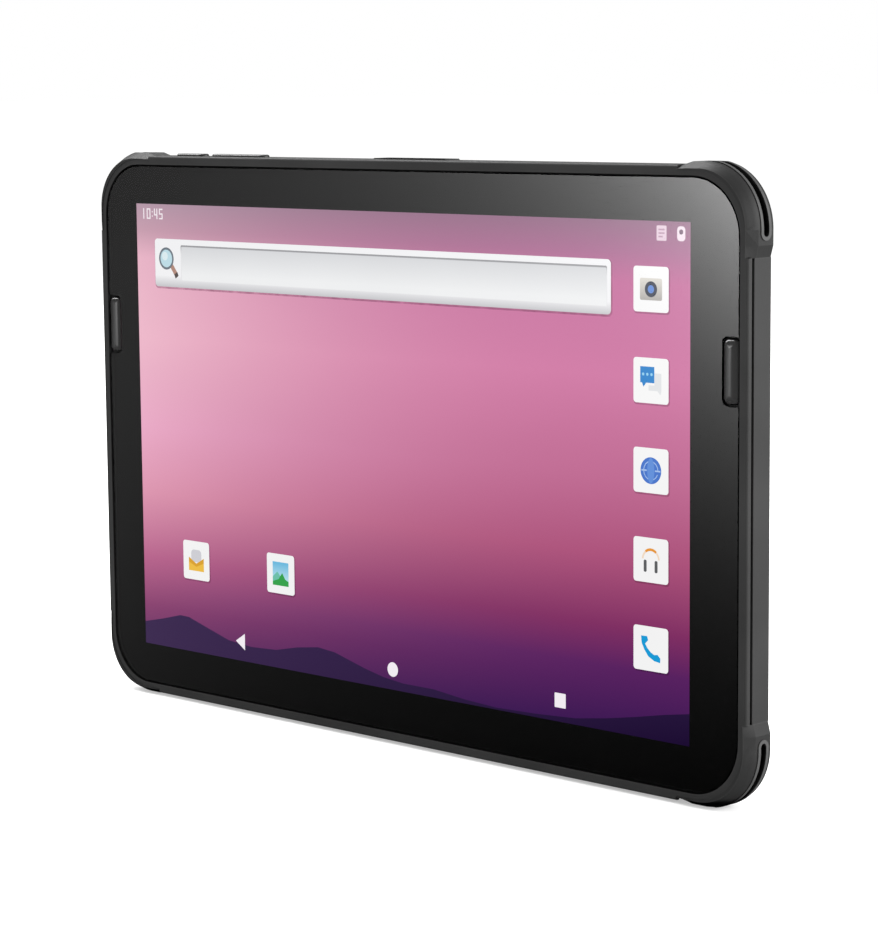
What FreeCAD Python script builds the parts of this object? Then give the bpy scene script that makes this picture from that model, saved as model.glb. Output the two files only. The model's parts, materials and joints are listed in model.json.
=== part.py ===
"""Rugged 10.1 inch data collector: a tablet-type field computer for survey work.

Every shape is drawn with the front plane at y = 0, depth growing with y, and the
middle of the device at x = 0, z = 0.  placed() then moves it to the part's own
frame: origin at the bottom centre of the device, +X right, +Y into the device, +Z up.
All dimensions are in millimetres.
"""
import FreeCAD, Part
import math
import os

V = FreeCAD.Vector
X_AXIS = V(1, 0, 0)
Y_AXIS = V(0, 1, 0)
Z_AXIS = V(0, 0, 1)

# ---------------------------------------------------------------- driving dimensions
THICKNESS = 12.8            # front of the corner bumpers to their back

SCREEN_HALF_X = 108.48      # active area of a 10.1 inch 16:10 panel
SCREEN_HALF_Z = 67.8
SCREEN_X = -1.9             # the panel sits a little left of and above the middle
SCREEN_Z = 0.1

GLASS_HALF_X = 123.1        # every outline of the casing follows the glass edge
GLASS_HALF_Z = 79.3
GLASS_RADIUS = 15.0
GLASS_FRONT = 0.55
GLASS_BACK = 1.4
GLASS_GAP = 0.4             # dark gap between glass and bezel

RAIL_OFFSET = 3.0           # side rails, beyond the glass edge
RAIL_HALF_X = GLASS_HALF_X + RAIL_OFFSET
RAIL_HALF_Z = GLASS_HALF_Z + RAIL_OFFSET
BUMPER_OFFSET = 3.85        # corner bumpers, beyond the glass edge
BUMPER_HALF_X = GLASS_HALF_X + BUMPER_OFFSET
BUMPER_HALF_Z = GLASS_HALF_Z + BUMPER_OFFSET
BUMPER_RADIUS = 16.8        # tighter than the casing's corner, so the rubber is thickest there
CAVITY_OFFSET = -2.2        # inside of the casing wall
CAVITY_HALF_Z = GLASS_HALF_Z + CAVITY_OFFSET

LIP_FRONT = 0.25            # front of the bezel lip
LIP_BACK = 1.7
CREASE_BACK = 2.75          # the parting groove runs from LIP_BACK to here
LEDGE_FRONT = 1.7           # ledge that carries the glass
LEDGE_BACK = 3.0
SHELF = 3.1                 # front of the rear housing's inner shelf
CAVITY_BACK = 10.9
HOUSING_BACK = 12.6
CHAMFER_START = 9.4         # the side faces end here and the rear chamfer begins
CHAMFER_INSET = 3.6

# The core is what the corner bumpers wrap: offset from the glass edge, front, back.
CORE_STEPS = (
    (1.9, -1.0, 4.0),
    (-0.2, 4.0, 11.9),
    (-2.1, 11.9, THICKNESS + 1.0),
)
BUMPER_END_X = 103.0        # where a bumper ends along the top and bottom
BUMPER_FULL_X = 106.0       # where its end ramp reaches full height
BUMPER_END_Z = 59.3         # the same along the sides
BUMPER_FULL_Z = 62.4
# Outer profile of a bumper: depth, inset of its face, inset at its two ends.
BUMPER_LEVELS = (
    (0.0, 1.7, 1.0),
    (3.2, 0.0, 0.0),
    (9.2, 0.0, 0.0),
    (THICKNESS, 3.6, 3.9),
)

SLOT_DEPTH_POS = 6.05       # depth position of the strap slot in each bumper
SLOT_HALF_WIDTH = 1.1
SLOT_DEEP = 2.4
SLOT_RIM_HALF_WIDTH = 2.05
SLOT_RIM_RAISE = 0.3
SLOT_START_X = 109.1
SLOT_START_Z = 65.6

SCAN_KEY_Z = 30.7           # middle of the scan keys above the middle of the device
SCAN_NOTCH_X = 117.6        # inner end of the notch in the glass
SCAN_NOTCH_HALF_Z = 8.9
SCAN_KEY_X = 120.45
SCAN_KEY_HALF_X = 2.4
SCAN_KEY_HALF_Z = 8.2
SCAN_KEY_FRONT = 0.05

TOP_KEY_DEPTH = 6.2         # depth position of the power key and the volume rocker
TOP_KEY_TOP = 83.0
TOP_KEY_HALF_WIDTH = 1.9
POWER_X = -89.2
POWER_HALF_X = 6.2
VOLUME_X = -68.0
VOLUME_HALF_X = 11.6
ROCKER_PIVOT_Z = 78.6
ROCKER_PIN_RADIUS = 0.6
STEM_BOTTOM = 77.4
LIP_UNDER = 79.85           # underside of the lip that keeps the top keys in
KEY_GAP = 0.25
FLANGE = 0.6

COVER_DEPTH = 5.9           # middle of the port covers across the side face
COVER_HALF_WIDTH = 2.3
COVER_THICK = 1.5
COVER_GAP = 0.2
PORT_COVER = (-9.0, 13.0)   # lower and upper end of each cover's recess
CARD_COVER = (-47.0, -17.0)
PIVOT_INSET = 1.0
HINGE_PIN_RADIUS = 0.4
HINGE_CLEARANCE = 0.05

SCAN_WINDOW_X = 3.0         # barcode reader window on the top edge
SCAN_WINDOW_HALF_X = 12.3
SCAN_WINDOW_DEPTHS = (6.0, 10.0)
SCAN_WINDOW_BOTTOM = 81.1
SCAN_BOSS_HALF_X = 15.0
SCAN_BOSS_TOP = 82.6
SCAN_BOSS_DEPTHS = (5.0, 10.6)

DOOR_Z = -22.0              # battery door in the back
DOOR_HALF_X = 70.0
DOOR_HALF_Z = 44.0
DOOR_OPEN_X = 62.0
DOOR_OPEN_Z = 36.0
DOOR_FRONT = 11.5
BATTERY_HALF_X = 60.0
BATTERY_HALF_Z = 35.0
BATTERY_BACK = 10.6

MOUNT_Z = 45.0              # four threaded inserts for a standard bracket plate
MOUNT_SPACING_X = 38.1
MOUNT_SPACING_Z = 30.2
INSERT_RADIUS = 2.3
INSERT_BORE = 1.25
INSERT_FRONT = 9.2

CAMERA_X = 98.0
CAMERA_Z = 60.0
TRIM_RADIUS = 6.3           # bore in the back for the camera trim
TRIM_FRONT = 11.3
TRIM_FLANGE_RADIUS = 7.6    # the trim's flange lies flush in the back
TRIM_FLANGE_FRONT = 12.1
CAMERA_WINDOW_RADIUS = 4.9
CAMERA_WINDOW_FRONT = 11.8
CAMERA_VIEW_RADIUS = 4.2
FLASH_X = 83.0
FLASH_RADIUS = 2.55
FLASH_LIGHT_RADIUS = 2.0
FLASH_FRONT = 11.9
SEAT_GAP = 0.05             # between a fixed round piece and its seat
SPEAKER_X = 92.0
SPEAKER_Z = -64.0
DOCK_DEPTH = 6.4
DOCK_HALF_X = 15.0
DOCK_HALF_WIDTH = 1.5
SNUG = 0.1                  # between a fixed piece and its opening

FRAME_FRONT = 5.0           # mid frame plate
FRAME_BACK = 5.8
BOARD_FRONT = 7.0           # main circuit board
BOARD_BACK = 7.8

SCREW_X = (-100.0, -35.0, 35.0, 100.0)
SCREW_Z = 75.0
SCREW_BOSS_RADIUS = 3.0
SCREW_NUT_BOSS_RADIUS = 1.85    # the bezel's bosses, which the screws bite into
SCREW_HOLE_RADIUS = 1.1
SCREW_SEAT_RADIUS = 2.25        # counterbore for the head
SCREW_SEAT_FRONT = 11.3
SCREW_HEAD_GAP = 0.15
SCREW_SHANK_RADIUS = 0.98
DOOR_SCREW_SEAT_RADIUS = 1.75
DOOR_SCREW_SEAT_FRONT = 11.9
DOOR_SCREW_SHANK_RADIUS = 0.8
DOOR_SCREW_POINTS = [(x, DOOR_Z + z) for x in (-67.0, 0.0, 67.0) for z in (-41.0, 41.0)]
SIDES = {"left": -1, "right": 1}
LEVELS = {"bottom": -1, "top": 1}


# ---------------------------------------------------------------- drawing helpers
def outline(half_x, half_z, radius, depth, x=0.0, z=0.0):
    """Closed rounded rectangle in the plane y = depth."""
    straight_x = half_x - radius
    straight_z = half_z - radius
    edges = []
    corners = ((1, 1, 0), (-1, 1, 90), (-1, -1, 180), (1, -1, 270))
    for index, (sign_x, sign_z, start) in enumerate(corners):
        centre = V(x + sign_x * straight_x, depth, z + sign_z * straight_z)
        points = []
        for angle in (start, start + 45, start + 90):
            turn = math.radians(angle)
            points.append(centre + V(radius * math.cos(turn), 0, radius * math.sin(turn)))
        edges.append(Part.Arc(*points).toShape())
        next_x, next_z, next_start = corners[(index + 1) % 4]
        turn = math.radians(next_start)
        following = V(x + next_x * straight_x + radius * math.cos(turn), depth,
                      z + next_z * straight_z + radius * math.sin(turn))
        if (following - points[2]).Length > 1e-6:
            edges.append(Part.makeLine(points[2], following))
    return Part.Wire(edges)


def plate(half_x, half_z, radius, front, back, x=0.0, z=0.0):
    """Rounded rectangular plate between two depths."""
    face = Part.Face(outline(half_x, half_z, radius, front, x, z))
    return face.extrude(V(0, back - front, 0))


def shell_outline(offset, depth):
    """The glass edge, offset outwards, in the plane y = depth."""
    return outline(GLASS_HALF_X + offset, GLASS_HALF_Z + offset, GLASS_RADIUS + offset, depth)


def shell(offset, front, back):
    """Plate whose outline is the glass edge offset outwards."""
    return Part.Face(shell_outline(offset, front)).extrude(V(0, back - front, 0))


def tapered_shell(offset_front, offset_back, front, back):
    """The same with a different offset at each of its two faces."""
    wires = [shell_outline(offset_front, front), shell_outline(offset_back, back)]
    return Part.makeLoft(wires, True, True)


def block(x_range, y_range, z_range):
    """Box between two corners."""
    low = V(min(x_range), min(y_range), min(z_range))
    size = V(max(x_range), max(y_range), max(z_range)) - low
    return Part.makeBox(size.x, size.y, size.z, low)


def rod(radius, start, direction, length):
    """Solid cylinder from start along direction."""
    return Part.makeCylinder(radius, length, start, direction)


def fuse(*shapes):
    """One solid from touching or overlapping shapes, with flush faces merged."""
    return shapes[0].fuse(list(shapes[1:])).removeSplitter()


def rounded(shape, radius, choose):
    """Fillet the edges that choose(edge) picks."""
    edges = [edge for edge in shape.Edges if choose(edge)]
    return shape.makeFillet(radius, edges)


def runs_along(edge, axis):
    """True where a straight edge is parallel to axis."""
    ends = edge.Vertexes
    if len(ends) != 2:
        return False
    along = (ends[1].Point - ends[0].Point).normalize()
    return abs(abs(along.dot(axis)) - 1.0) < 1e-6


def at_level(edge, axis, level):
    """True where the whole edge lies at one level of an axis."""
    box = edge.BoundBox
    low, high = {"x": (box.XMin, box.XMax), "y": (box.YMin, box.YMax),
                 "z": (box.ZMin, box.ZMax)}[axis]
    return abs(low - level) < 1e-4 and abs(high - level) < 1e-4


def ribbon(points, half_width, x, thickness=0.15):
    """Flat cable that follows square turns given as (z, depth) points."""
    half = thickness / 2
    runs = []
    for (z0, y0), (z1, y1) in zip(points, points[1:]):
        y_range = (min(y0, y1) - half, max(y0, y1) + half)
        z_range = (min(z0, z1) - half, max(z0, z1) + half)
        runs.append(block((x - half_width, x + half_width), y_range, z_range))
    return fuse(*runs)


# ---------------------------------------------------------------- shared outlines
def core():
    """What the corner bumpers wrap around."""
    return fuse(*[shell(*step) for step in CORE_STEPS])


def corner_zones():
    """The space at the four corners that belongs to the bumpers."""
    inner = core()
    zones = []
    reach = 140.0
    for side in SIDES.values():
        for level in LEVELS.values():
            zone = block((side * BUMPER_END_X, side * reach), (-2.0, THICKNESS + 0.5),
                         (level * BUMPER_END_Z, level * reach))
            zones.append(zone.cut(inner))
    return zones


def scan_notch(side, grow, front, back):
    """Notch for a scan key, open towards the edge of the device."""
    half_x = 6.0
    x = side * (SCAN_NOTCH_X - grow + half_x)
    return plate(half_x, SCAN_NOTCH_HALF_Z + grow, 2.0 + grow, front, back, x, SCAN_KEY_Z)


def key_hole(side, grow, front, back):
    """Through hole that a scan key runs in."""
    return plate(SCAN_KEY_HALF_X + grow, SCAN_KEY_HALF_Z + grow, 1.6 + grow, front, back,
                 side * SCAN_KEY_X, SCAN_KEY_Z)


# ---------------------------------------------------------------- display stack
def cover_glass():
    edge = 0.25
    body = fuse(shell(0.0, GLASS_FRONT + edge, GLASS_BACK),
                tapered_shell(-edge, 0.0, GLASS_FRONT, GLASS_FRONT + edge))
    for side in SIDES.values():
        body = body.cut(scan_notch(side, 0.0, 0.0, 2.0))
    return body


def border_mask():
    film = shell(-0.3, GLASS_BACK, 1.5)
    film = film.cut(screen_block(0.0, GLASS_BACK, 1.5))
    for side in SIDES.values():
        film = film.cut(scan_notch(side, 0.3, 1.0, 2.0))
    return film


def screen_block(grow, front, back):
    """Rectangle of the active area, grown on all sides."""
    return block((SCREEN_X - SCREEN_HALF_X - grow, SCREEN_X + SCREEN_HALF_X + grow),
                 (front, back), (SCREEN_Z - SCREEN_HALF_Z - grow, SCREEN_Z + SCREEN_HALF_Z + grow))


def optical_adhesive():
    return screen_block(-0.05, GLASS_BACK, 1.5)


def touch_sensor():
    return screen_block(3.2, 1.5, LEDGE_FRONT)


def glass_seal():
    ring = shell(-0.6, 1.5, LEDGE_FRONT)
    bands = [ring.cut(shell(-4.5, 1.0, 2.0))]
    for side in SIDES.values():
        bands.append(scan_notch(side, 2.2, 1.5, LEDGE_FRONT).common(ring))
    seal = fuse(*bands)
    for side in SIDES.values():
        seal = seal.cut(scan_notch(side, 0.5, 1.0, 2.0))
    return seal


def display_panel():
    return screen_block(2.5, LEDGE_FRONT, 2.7)


def light_guide():
    return screen_block(2.9, 2.75, 4.1)


def display_tray():
    return screen_block(3.7, 2.75, 4.4).cut(screen_block(3.1, 2.0, 4.1))


def display_flex():
    bottom = SCREEN_Z - SCREEN_HALF_Z - 2.5
    points = [(bottom - 0.08, 2.2), (bottom - 2.0, 2.2), (bottom - 2.0, 4.7), (15.0, 4.7),
              (15.0, 6.8), (22.0, 6.8)]
    return ribbon(points, 20.0, SCREEN_X)


# ---------------------------------------------------------------- casing
def front_bezel():
    lip = shell(RAIL_OFFSET, LIP_FRONT, LIP_BACK)
    lip = rounded(lip, 0.7, lambda edge: at_level(edge, "y", LIP_FRONT))
    ledge = shell(0.9, LIP_BACK - 0.2, LEDGE_BACK)
    tongue = shell(-2.5, LEDGE_BACK, 4.6).cut(shell(-4.3, LEDGE_BACK - 1.0, 5.0))
    bosses = [rod(SCREW_NUT_BOSS_RADIUS, V(x, LEDGE_BACK - 0.5, side * SCREW_Z), Y_AXIS,
                  FRAME_FRONT - LEDGE_BACK + 0.5)
              for x in SCREW_X for side in (-1, 1)]
    body = fuse(lip, ledge, tongue, *bosses)
    pocket = shell(GLASS_GAP, -1.0, LEDGE_FRONT)
    window = screen_block(4.1, 0.0, 6.0)
    flex_relief = block((SCREEN_X - 21, SCREEN_X + 21), (1.9, 6.0), (-74.4, -70.0))
    usb_relief = block((-122.0, -116.0), (4.0, 6.0), (-5.0, 7.0))
    body = body.cut([pocket, window, flex_relief, usb_relief])
    for side in SIDES.values():
        body = body.cut(key_hole(side, KEY_GAP, 0.0, 4.0))
        body = body.cut(key_hole(side, FLANGE + 0.3, LEDGE_BACK, 6.0))
    for x in SCREW_X:
        for side in (-1, 1):
            body = body.cut(rod(1.0, V(x, 3.3, side * SCREW_Z), Y_AXIS, 3.0))
    return body.cut(corner_zones())


def housing_seal():
    return shell(1.85, LIP_BACK, CREASE_BACK).cut(shell(0.95, 0.0, 4.0))


def mid_frame():
    body = shell(CAVITY_OFFSET - 0.5, FRAME_FRONT, FRAME_BACK)
    cradle = plate(BATTERY_HALF_X + 1.7, BATTERY_HALF_Z + 1.7, 4.0, FRAME_BACK, 7.6, 0.0, DOOR_Z)
    cradle = cradle.cut(plate(BATTERY_HALF_X + 0.5, BATTERY_HALF_Z + 0.5, 3.0, 5.0, 8.0, 0.0, DOOR_Z))
    body = fuse(body, cradle)
    cuts = [block((-130.0, -99.0), (4.0, 7.0), (-50.0, 16.0)),
            block((SCREEN_X - 21, SCREEN_X + 21), (4.0, 7.0), (14.2, 18.0)),
            block((-98.0, -53.0), (4.0, 7.0), (74.6, 80.0)),
            block((-18.0, 18.0), (4.0, 7.0), (-80.0, -73.0))]
    for side in SIDES.values():
        cuts.append(block((side * 116.0, side * 130.0), (4.0, 7.0), (20.5, 41.0)))
        for x in SCREW_X:
            cuts.append(rod(SCREW_HOLE_RADIUS, V(x, 4.0, side * SCREW_Z), Y_AXIS, 3.0))
    return body.cut(cuts)


def top_key_cut(x, half_x):
    """Slot and flange pocket for a key in the top rail."""
    half_d = TOP_KEY_HALF_WIDTH
    slot = block((x - half_x - KEY_GAP, x + half_x + KEY_GAP),
                 (TOP_KEY_DEPTH - half_d - KEY_GAP, TOP_KEY_DEPTH + half_d + KEY_GAP),
                 (LIP_UNDER - 1.0, 90.0))
    slot = rounded(slot, half_d, lambda edge: runs_along(edge, Z_AXIS))
    pocket = block((x - half_x - FLANGE - KEY_GAP, x + half_x + FLANGE + KEY_GAP),
                   (TOP_KEY_DEPTH - 2.5, TOP_KEY_DEPTH + 2.5), (CAVITY_HALF_Z - 1.0, LIP_UNDER))
    return fuse(slot, pocket)


def cover_cut(z_range):
    """Recess, hinge bore and plug pocket for a cover in the left side face."""
    z_low, z_high = z_range
    pivot = V(-RAIL_HALF_X + PIVOT_INSET, 0, z_high - PIVOT_INSET)
    half_d = COVER_HALF_WIDTH + COVER_GAP
    floor = -RAIL_HALF_X + COVER_THICK + COVER_GAP
    recess = block((-140.0, floor), (COVER_DEPTH - half_d, COVER_DEPTH + half_d), (z_low, pivot.z))
    knuckle = rod(PIVOT_INSET + 0.15, V(pivot.x, COVER_DEPTH - half_d, pivot.z), Y_AXIS, 2 * half_d)
    nose = block((-140.0, pivot.x), (COVER_DEPTH - half_d, COVER_DEPTH + half_d),
                 (pivot.z - 0.5, pivot.z + PIVOT_INSET + 0.15))
    bore = rod(HINGE_PIN_RADIUS, V(pivot.x, COVER_DEPTH - 3.2, pivot.z), Y_AXIS, 6.4)
    pocket = block((floor - 1.0, -122.9), (COVER_DEPTH - 1.8, COVER_DEPTH + 1.8),
                   (z_low + 2.0, z_high - 4.0))
    nail = rod(1.6, V(-RAIL_HALF_X - 0.6, COVER_DEPTH - 1.5, z_low), Y_AXIS, 3.0)
    return fuse(recess, knuckle, nose, bore, pocket, nail)


def usb_profile(half_z, half_d, x0, x1, z):
    """Flat-sided round-ended prism along X, the shape of the charging socket."""
    shape = block((x0, x1), (COVER_DEPTH - half_d, COVER_DEPTH + half_d), (z - half_z, z + half_z))
    return rounded(shape, half_d * 0.98, lambda edge: runs_along(edge, X_AXIS))


def cover_middle(z_range):
    """Middle of the plug and of the socket under a cover."""
    return (z_range[0] + z_range[1]) / 2 - 1.0


def scan_window_block(grow, top):
    """The barcode reader's window, grown sideways by a clearance."""
    front, back = SCAN_WINDOW_DEPTHS
    half_x = SCAN_WINDOW_HALF_X + grow
    return block((SCAN_WINDOW_X - half_x, SCAN_WINDOW_X + half_x), (front - grow, back + grow),
                 (SCAN_WINDOW_BOTTOM, top))


def speaker_slots(side):
    """Five sound slots in the back."""
    slots = []
    for row in range(5):
        z = SPEAKER_Z + (row - 2) * 2.4
        slots.append(plate(9.0, 0.55, 0.5, CAVITY_BACK - 1.0, 14.0, side * SPEAKER_X, z))
    return slots


def insert_points():
    """Centres of the four threaded inserts."""
    return [(sx * MOUNT_SPACING_X / 2, MOUNT_Z + sz * MOUNT_SPACING_Z / 2)
            for sx in (-1, 1) for sz in (-1, 1)]


def rear_housing():
    body = fuse(shell(RAIL_OFFSET, CREASE_BACK, CHAMFER_START),
                tapered_shell(RAIL_OFFSET, RAIL_OFFSET - CHAMFER_INSET, CHAMFER_START, HOUSING_BACK))
    boss = block((SCAN_WINDOW_X - SCAN_BOSS_HALF_X, SCAN_WINDOW_X + SCAN_BOSS_HALF_X),
                 SCAN_BOSS_DEPTHS, (78.0, SCAN_BOSS_TOP))
    boss = boss.makeChamfer(1.2, [edge for edge in boss.Edges
                                  if runs_along(edge, Y_AXIS) and edge.BoundBox.ZMin > 80])
    body = fuse(body, boss)
    body = body.cut([shell(1.0, 0.0, SHELF), shell(CAVITY_OFFSET, SHELF - 0.5, CAVITY_BACK)])
    door_frame = plate(DOOR_HALF_X + 1.5, DOOR_HALF_Z + 1.5, 5.5, 9.6, CAVITY_BACK + 0.2, 0.0, DOOR_Z)
    additions = [door_frame]
    for x in SCREW_X:
        for side in (-1, 1):
            additions.append(rod(SCREW_BOSS_RADIUS, V(x, FRAME_BACK + 0.05, side * SCREW_Z), Y_AXIS, 5.3))
    for x, z in insert_points():
        additions.append(rod(INSERT_RADIUS + 1.1, V(x, INSERT_FRONT - 0.2, z), Y_AXIS, 2.0))
    body = fuse(body, *additions)
    cuts = [plate(DOOR_OPEN_X, DOOR_OPEN_Z, 4.0, 8.0, 14.0, 0.0, DOOR_Z),
            plate(DOOR_HALF_X, DOOR_HALF_Z, 5.0, DOOR_FRONT, 14.0, 0.0, DOOR_Z),
            top_key_cut(POWER_X, POWER_HALF_X),
            top_key_cut(VOLUME_X, VOLUME_HALF_X),
            rod(ROCKER_PIN_RADIUS, V(VOLUME_X, TOP_KEY_DEPTH - 3.1, ROCKER_PIVOT_Z), Y_AXIS, 6.3),
            cover_cut(PORT_COVER),
            cover_cut(CARD_COVER),
            usb_profile(4.6, 1.7, -123.5, -120.0, cover_middle(PORT_COVER)),
            block((-123.0, -120.0), (4.6, 7.6), (-45.1, -18.9)),
            block((-DOCK_HALF_X - SNUG, DOCK_HALF_X + SNUG),
                  (DOCK_DEPTH - DOCK_HALF_WIDTH - SNUG, DOCK_DEPTH + DOCK_HALF_WIDTH + SNUG),
                  (-90.0, -70.0)),
            block((SCAN_WINDOW_X - 11.5, SCAN_WINDOW_X + 11.5), (6.5, 9.5), (70.0, 90.0)),
            scan_window_block(SNUG, 90.0),
            rod(TRIM_RADIUS, V(CAMERA_X, 9.0, CAMERA_Z), Y_AXIS, 6.0),
            rod(TRIM_FLANGE_RADIUS, V(CAMERA_X, TRIM_FLANGE_FRONT, CAMERA_Z), Y_AXIS, 2.0),
            rod(FLASH_LIGHT_RADIUS, V(FLASH_X, 9.0, CAMERA_Z), Y_AXIS, 6.0),
            rod(FLASH_RADIUS, V(FLASH_X, FLASH_FRONT, CAMERA_Z), Y_AXIS, 2.0)]
    for side in SIDES.values():
        cuts.append(block((side * 116.0, side * 123.9), (SHELF - 0.5, 8.0), (20.5, 41.0)))
        cuts.extend(speaker_slots(side))
        for x in SCREW_X:
            cuts.append(rod(SCREW_HOLE_RADIUS, V(x, 5.0, side * SCREW_Z), Y_AXIS, 8.0))
            cuts.append(rod(SCREW_SEAT_RADIUS, V(x, SCREW_SEAT_FRONT, side * SCREW_Z), Y_AXIS, 2.0))
    for x, z in insert_points():
        cuts.append(rod(INSERT_RADIUS, V(x, INSERT_FRONT, z), Y_AXIS, 6.0))
    for x, z in DOOR_SCREW_POINTS:
        cuts.append(rod(0.85, V(x, 9.9, z), Y_AXIS, 2.0))
    return body.cut(cuts).cut(corner_zones())


def battery_door():
    body = plate(DOOR_HALF_X - 0.15, DOOR_HALF_Z - 0.15, 4.85, DOOR_FRONT, HOUSING_BACK, 0.0, DOOR_Z)
    body = body.makeChamfer(0.25, [edge for edge in body.Edges if at_level(edge, "y", HOUSING_BACK)])
    plug = plate(DOOR_OPEN_X - 0.8, DOOR_OPEN_Z - 0.8, 3.2, 10.7, DOOR_FRONT, 0.0, DOOR_Z)
    body = fuse(body, plug)
    for x, z in DOOR_SCREW_POINTS:
        body = body.cut(rod(0.95, V(x, 10.0, z), Y_AXIS, 4.0))
        body = body.cut(rod(DOOR_SCREW_SEAT_RADIUS, V(x, DOOR_SCREW_SEAT_FRONT, z), Y_AXIS, 2.0))
    return body


def battery_door_seal():
    ring = plate(DOOR_OPEN_X, DOOR_OPEN_Z, 4.0, 10.9, DOOR_FRONT, 0.0, DOOR_Z)
    return ring.cut(plate(DOOR_OPEN_X - 0.8, DOOR_OPEN_Z - 0.8, 3.2, 9.0, 13.0, 0.0, DOOR_Z))


# ---------------------------------------------------------------- corner bumpers
def bumper_wire(depth, inset, end_inset):
    """Outer outline of the bumper at +X +Z, at one depth."""
    radius = BUMPER_RADIUS - inset
    centre = V(BUMPER_HALF_X - BUMPER_RADIUS, depth, BUMPER_HALF_Z - BUMPER_RADIUS)
    arc = [centre + V(radius * math.cos(turn), 0, radius * math.sin(turn))
           for turn in (math.pi / 2, math.pi / 4, 0.0)]
    inner = V(BUMPER_END_X, depth, BUMPER_END_Z)
    top_end = V(BUMPER_END_X, depth, RAIL_HALF_Z - end_inset)
    top_full = V(BUMPER_FULL_X, depth, BUMPER_HALF_Z - inset)
    side_full = V(BUMPER_HALF_X - inset, depth, BUMPER_FULL_Z)
    side_end = V(RAIL_HALF_X - end_inset, depth, BUMPER_END_Z)
    return Part.Wire([Part.makeLine(inner, top_end), Part.makeLine(top_end, top_full),
                      Part.makeLine(top_full, arc[0]), Part.Arc(*arc).toShape(),
                      Part.makeLine(arc[2], side_full), Part.makeLine(side_full, side_end),
                      Part.makeLine(side_end, inner)])


def bumper_plate(inset, front, back):
    """Plate with the bumpers' outer outline, moved inwards by inset."""
    return plate(BUMPER_HALF_X - inset, BUMPER_HALF_Z - inset, BUMPER_RADIUS - inset, front, back)


def slot_band(inset_out, inset_in, half_width):
    """Band that follows the bumper's rounded corner, for the slot and its rim."""
    front = SLOT_DEPTH_POS - half_width
    back = SLOT_DEPTH_POS + half_width
    band = bumper_plate(inset_out, front, back)
    band = band.cut(bumper_plate(inset_in, front - 1, back + 1))
    band = band.common(block((SLOT_START_X, 140), (-5, 20), (SLOT_START_Z, 140)))
    side_end = rod(half_width, V(BUMPER_HALF_X - inset_in, SLOT_DEPTH_POS, SLOT_START_Z), X_AXIS,
                   inset_in - inset_out)
    return band, side_end


def corner_bumper():
    """The bumper at +X +Z; the others are mirror images."""
    pieces = []
    for (d0, in0, end0), (d1, in1, end1) in zip(BUMPER_LEVELS, BUMPER_LEVELS[1:]):
        wires = [bumper_wire(d0, in0, end0), bumper_wire(d1, in1, end1)]
        pieces.append(Part.makeLoft(wires, True, True))
    body = fuse(*pieces)
    rim, rim_end = slot_band(-SLOT_RIM_RAISE, 0.5, SLOT_RIM_HALF_WIDTH)
    rim = fuse(rim, rim_end).common(block((90, 140), (-5, 20), (50, BUMPER_HALF_Z)))
    slot, slot_side_end = slot_band(-1.0, SLOT_DEEP, SLOT_HALF_WIDTH)
    slot_top_end = rod(SLOT_HALF_WIDTH, V(SLOT_START_X, SLOT_DEPTH_POS, BUMPER_HALF_Z - SLOT_DEEP),
                       Z_AXIS, SLOT_DEEP + 1.0)
    body = fuse(body, rim).cut([core(), slot, slot_side_end, slot_top_end])
    return body


def mirrored(shape, side, level):
    """Copy of a +X +Z shape for another corner."""
    if side < 0:
        shape = shape.mirror(V(0, 0, 0), X_AXIS)
    if level < 0:
        shape = shape.mirror(V(0, 0, 0), Z_AXIS)
    return shape


# ---------------------------------------------------------------- keys
def top_key(x, half_x, flange_top, stems):
    """Key in the top rail: cap, flange and the stems that press the switches."""
    half_d = TOP_KEY_HALF_WIDTH
    cap = block((x - half_x, x + half_x), (TOP_KEY_DEPTH - half_d, TOP_KEY_DEPTH + half_d),
                (flange_top - 0.2, TOP_KEY_TOP))
    cap = rounded(cap, half_d - 0.1, lambda edge: runs_along(edge, Z_AXIS))
    cap = rounded(cap, 0.6, lambda edge: at_level(edge, "z", TOP_KEY_TOP))
    flange = block((x - half_x - FLANGE, x + half_x + FLANGE),
                   (TOP_KEY_DEPTH - 2.3, TOP_KEY_DEPTH + 2.3), (78.0, flange_top))
    parts = [cap, flange]
    for offset in stems:
        parts.append(block((x + offset - 1.4, x + offset + 1.4), (TOP_KEY_DEPTH - 1.2, TOP_KEY_DEPTH + 1.2),
                           (STEM_BOTTOM, 78.2)))
    return fuse(*parts)


def power_key():
    return top_key(POWER_X, POWER_HALF_X, LIP_UNDER - 0.1, (0.0,))


def volume_rocker():
    body = top_key(VOLUME_X, VOLUME_HALF_X, LIP_UNDER - 0.45, (-8.0, 8.0))
    bore = rod(ROCKER_PIN_RADIUS + HINGE_CLEARANCE, V(VOLUME_X, 0.0, ROCKER_PIVOT_Z), Y_AXIS, 12.0)
    return body.cut(bore)


def rocker_pin():
    return rod(ROCKER_PIN_RADIUS, V(VOLUME_X, TOP_KEY_DEPTH - 3.0, ROCKER_PIVOT_Z), Y_AXIS, 6.1)


def scan_key(side):
    x = side * SCAN_KEY_X
    cap = plate(SCAN_KEY_HALF_X, SCAN_KEY_HALF_Z, 1.6, SCAN_KEY_FRONT, 3.4, x, SCAN_KEY_Z)
    cap = rounded(cap, 1.0, lambda edge: at_level(edge, "y", SCAN_KEY_FRONT))
    flange = plate(SCAN_KEY_HALF_X + FLANGE, SCAN_KEY_HALF_Z + FLANGE, 1.6, 3.15, 3.95, x, SCAN_KEY_Z)
    stem = rod(1.2, V(x, 3.8, SCAN_KEY_Z), Y_AXIS, 0.8)
    return fuse(cap, flange, stem)


def dome_switch():
    """Push switch that faces +Z, base at the origin."""
    base = block((-2.1, 2.1), (-1.4, 1.4), (0.0, 0.7))
    dome = rod(1.1, V(0, 0, 0.7), Z_AXIS, 0.4)
    return fuse(base, dome)


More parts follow.
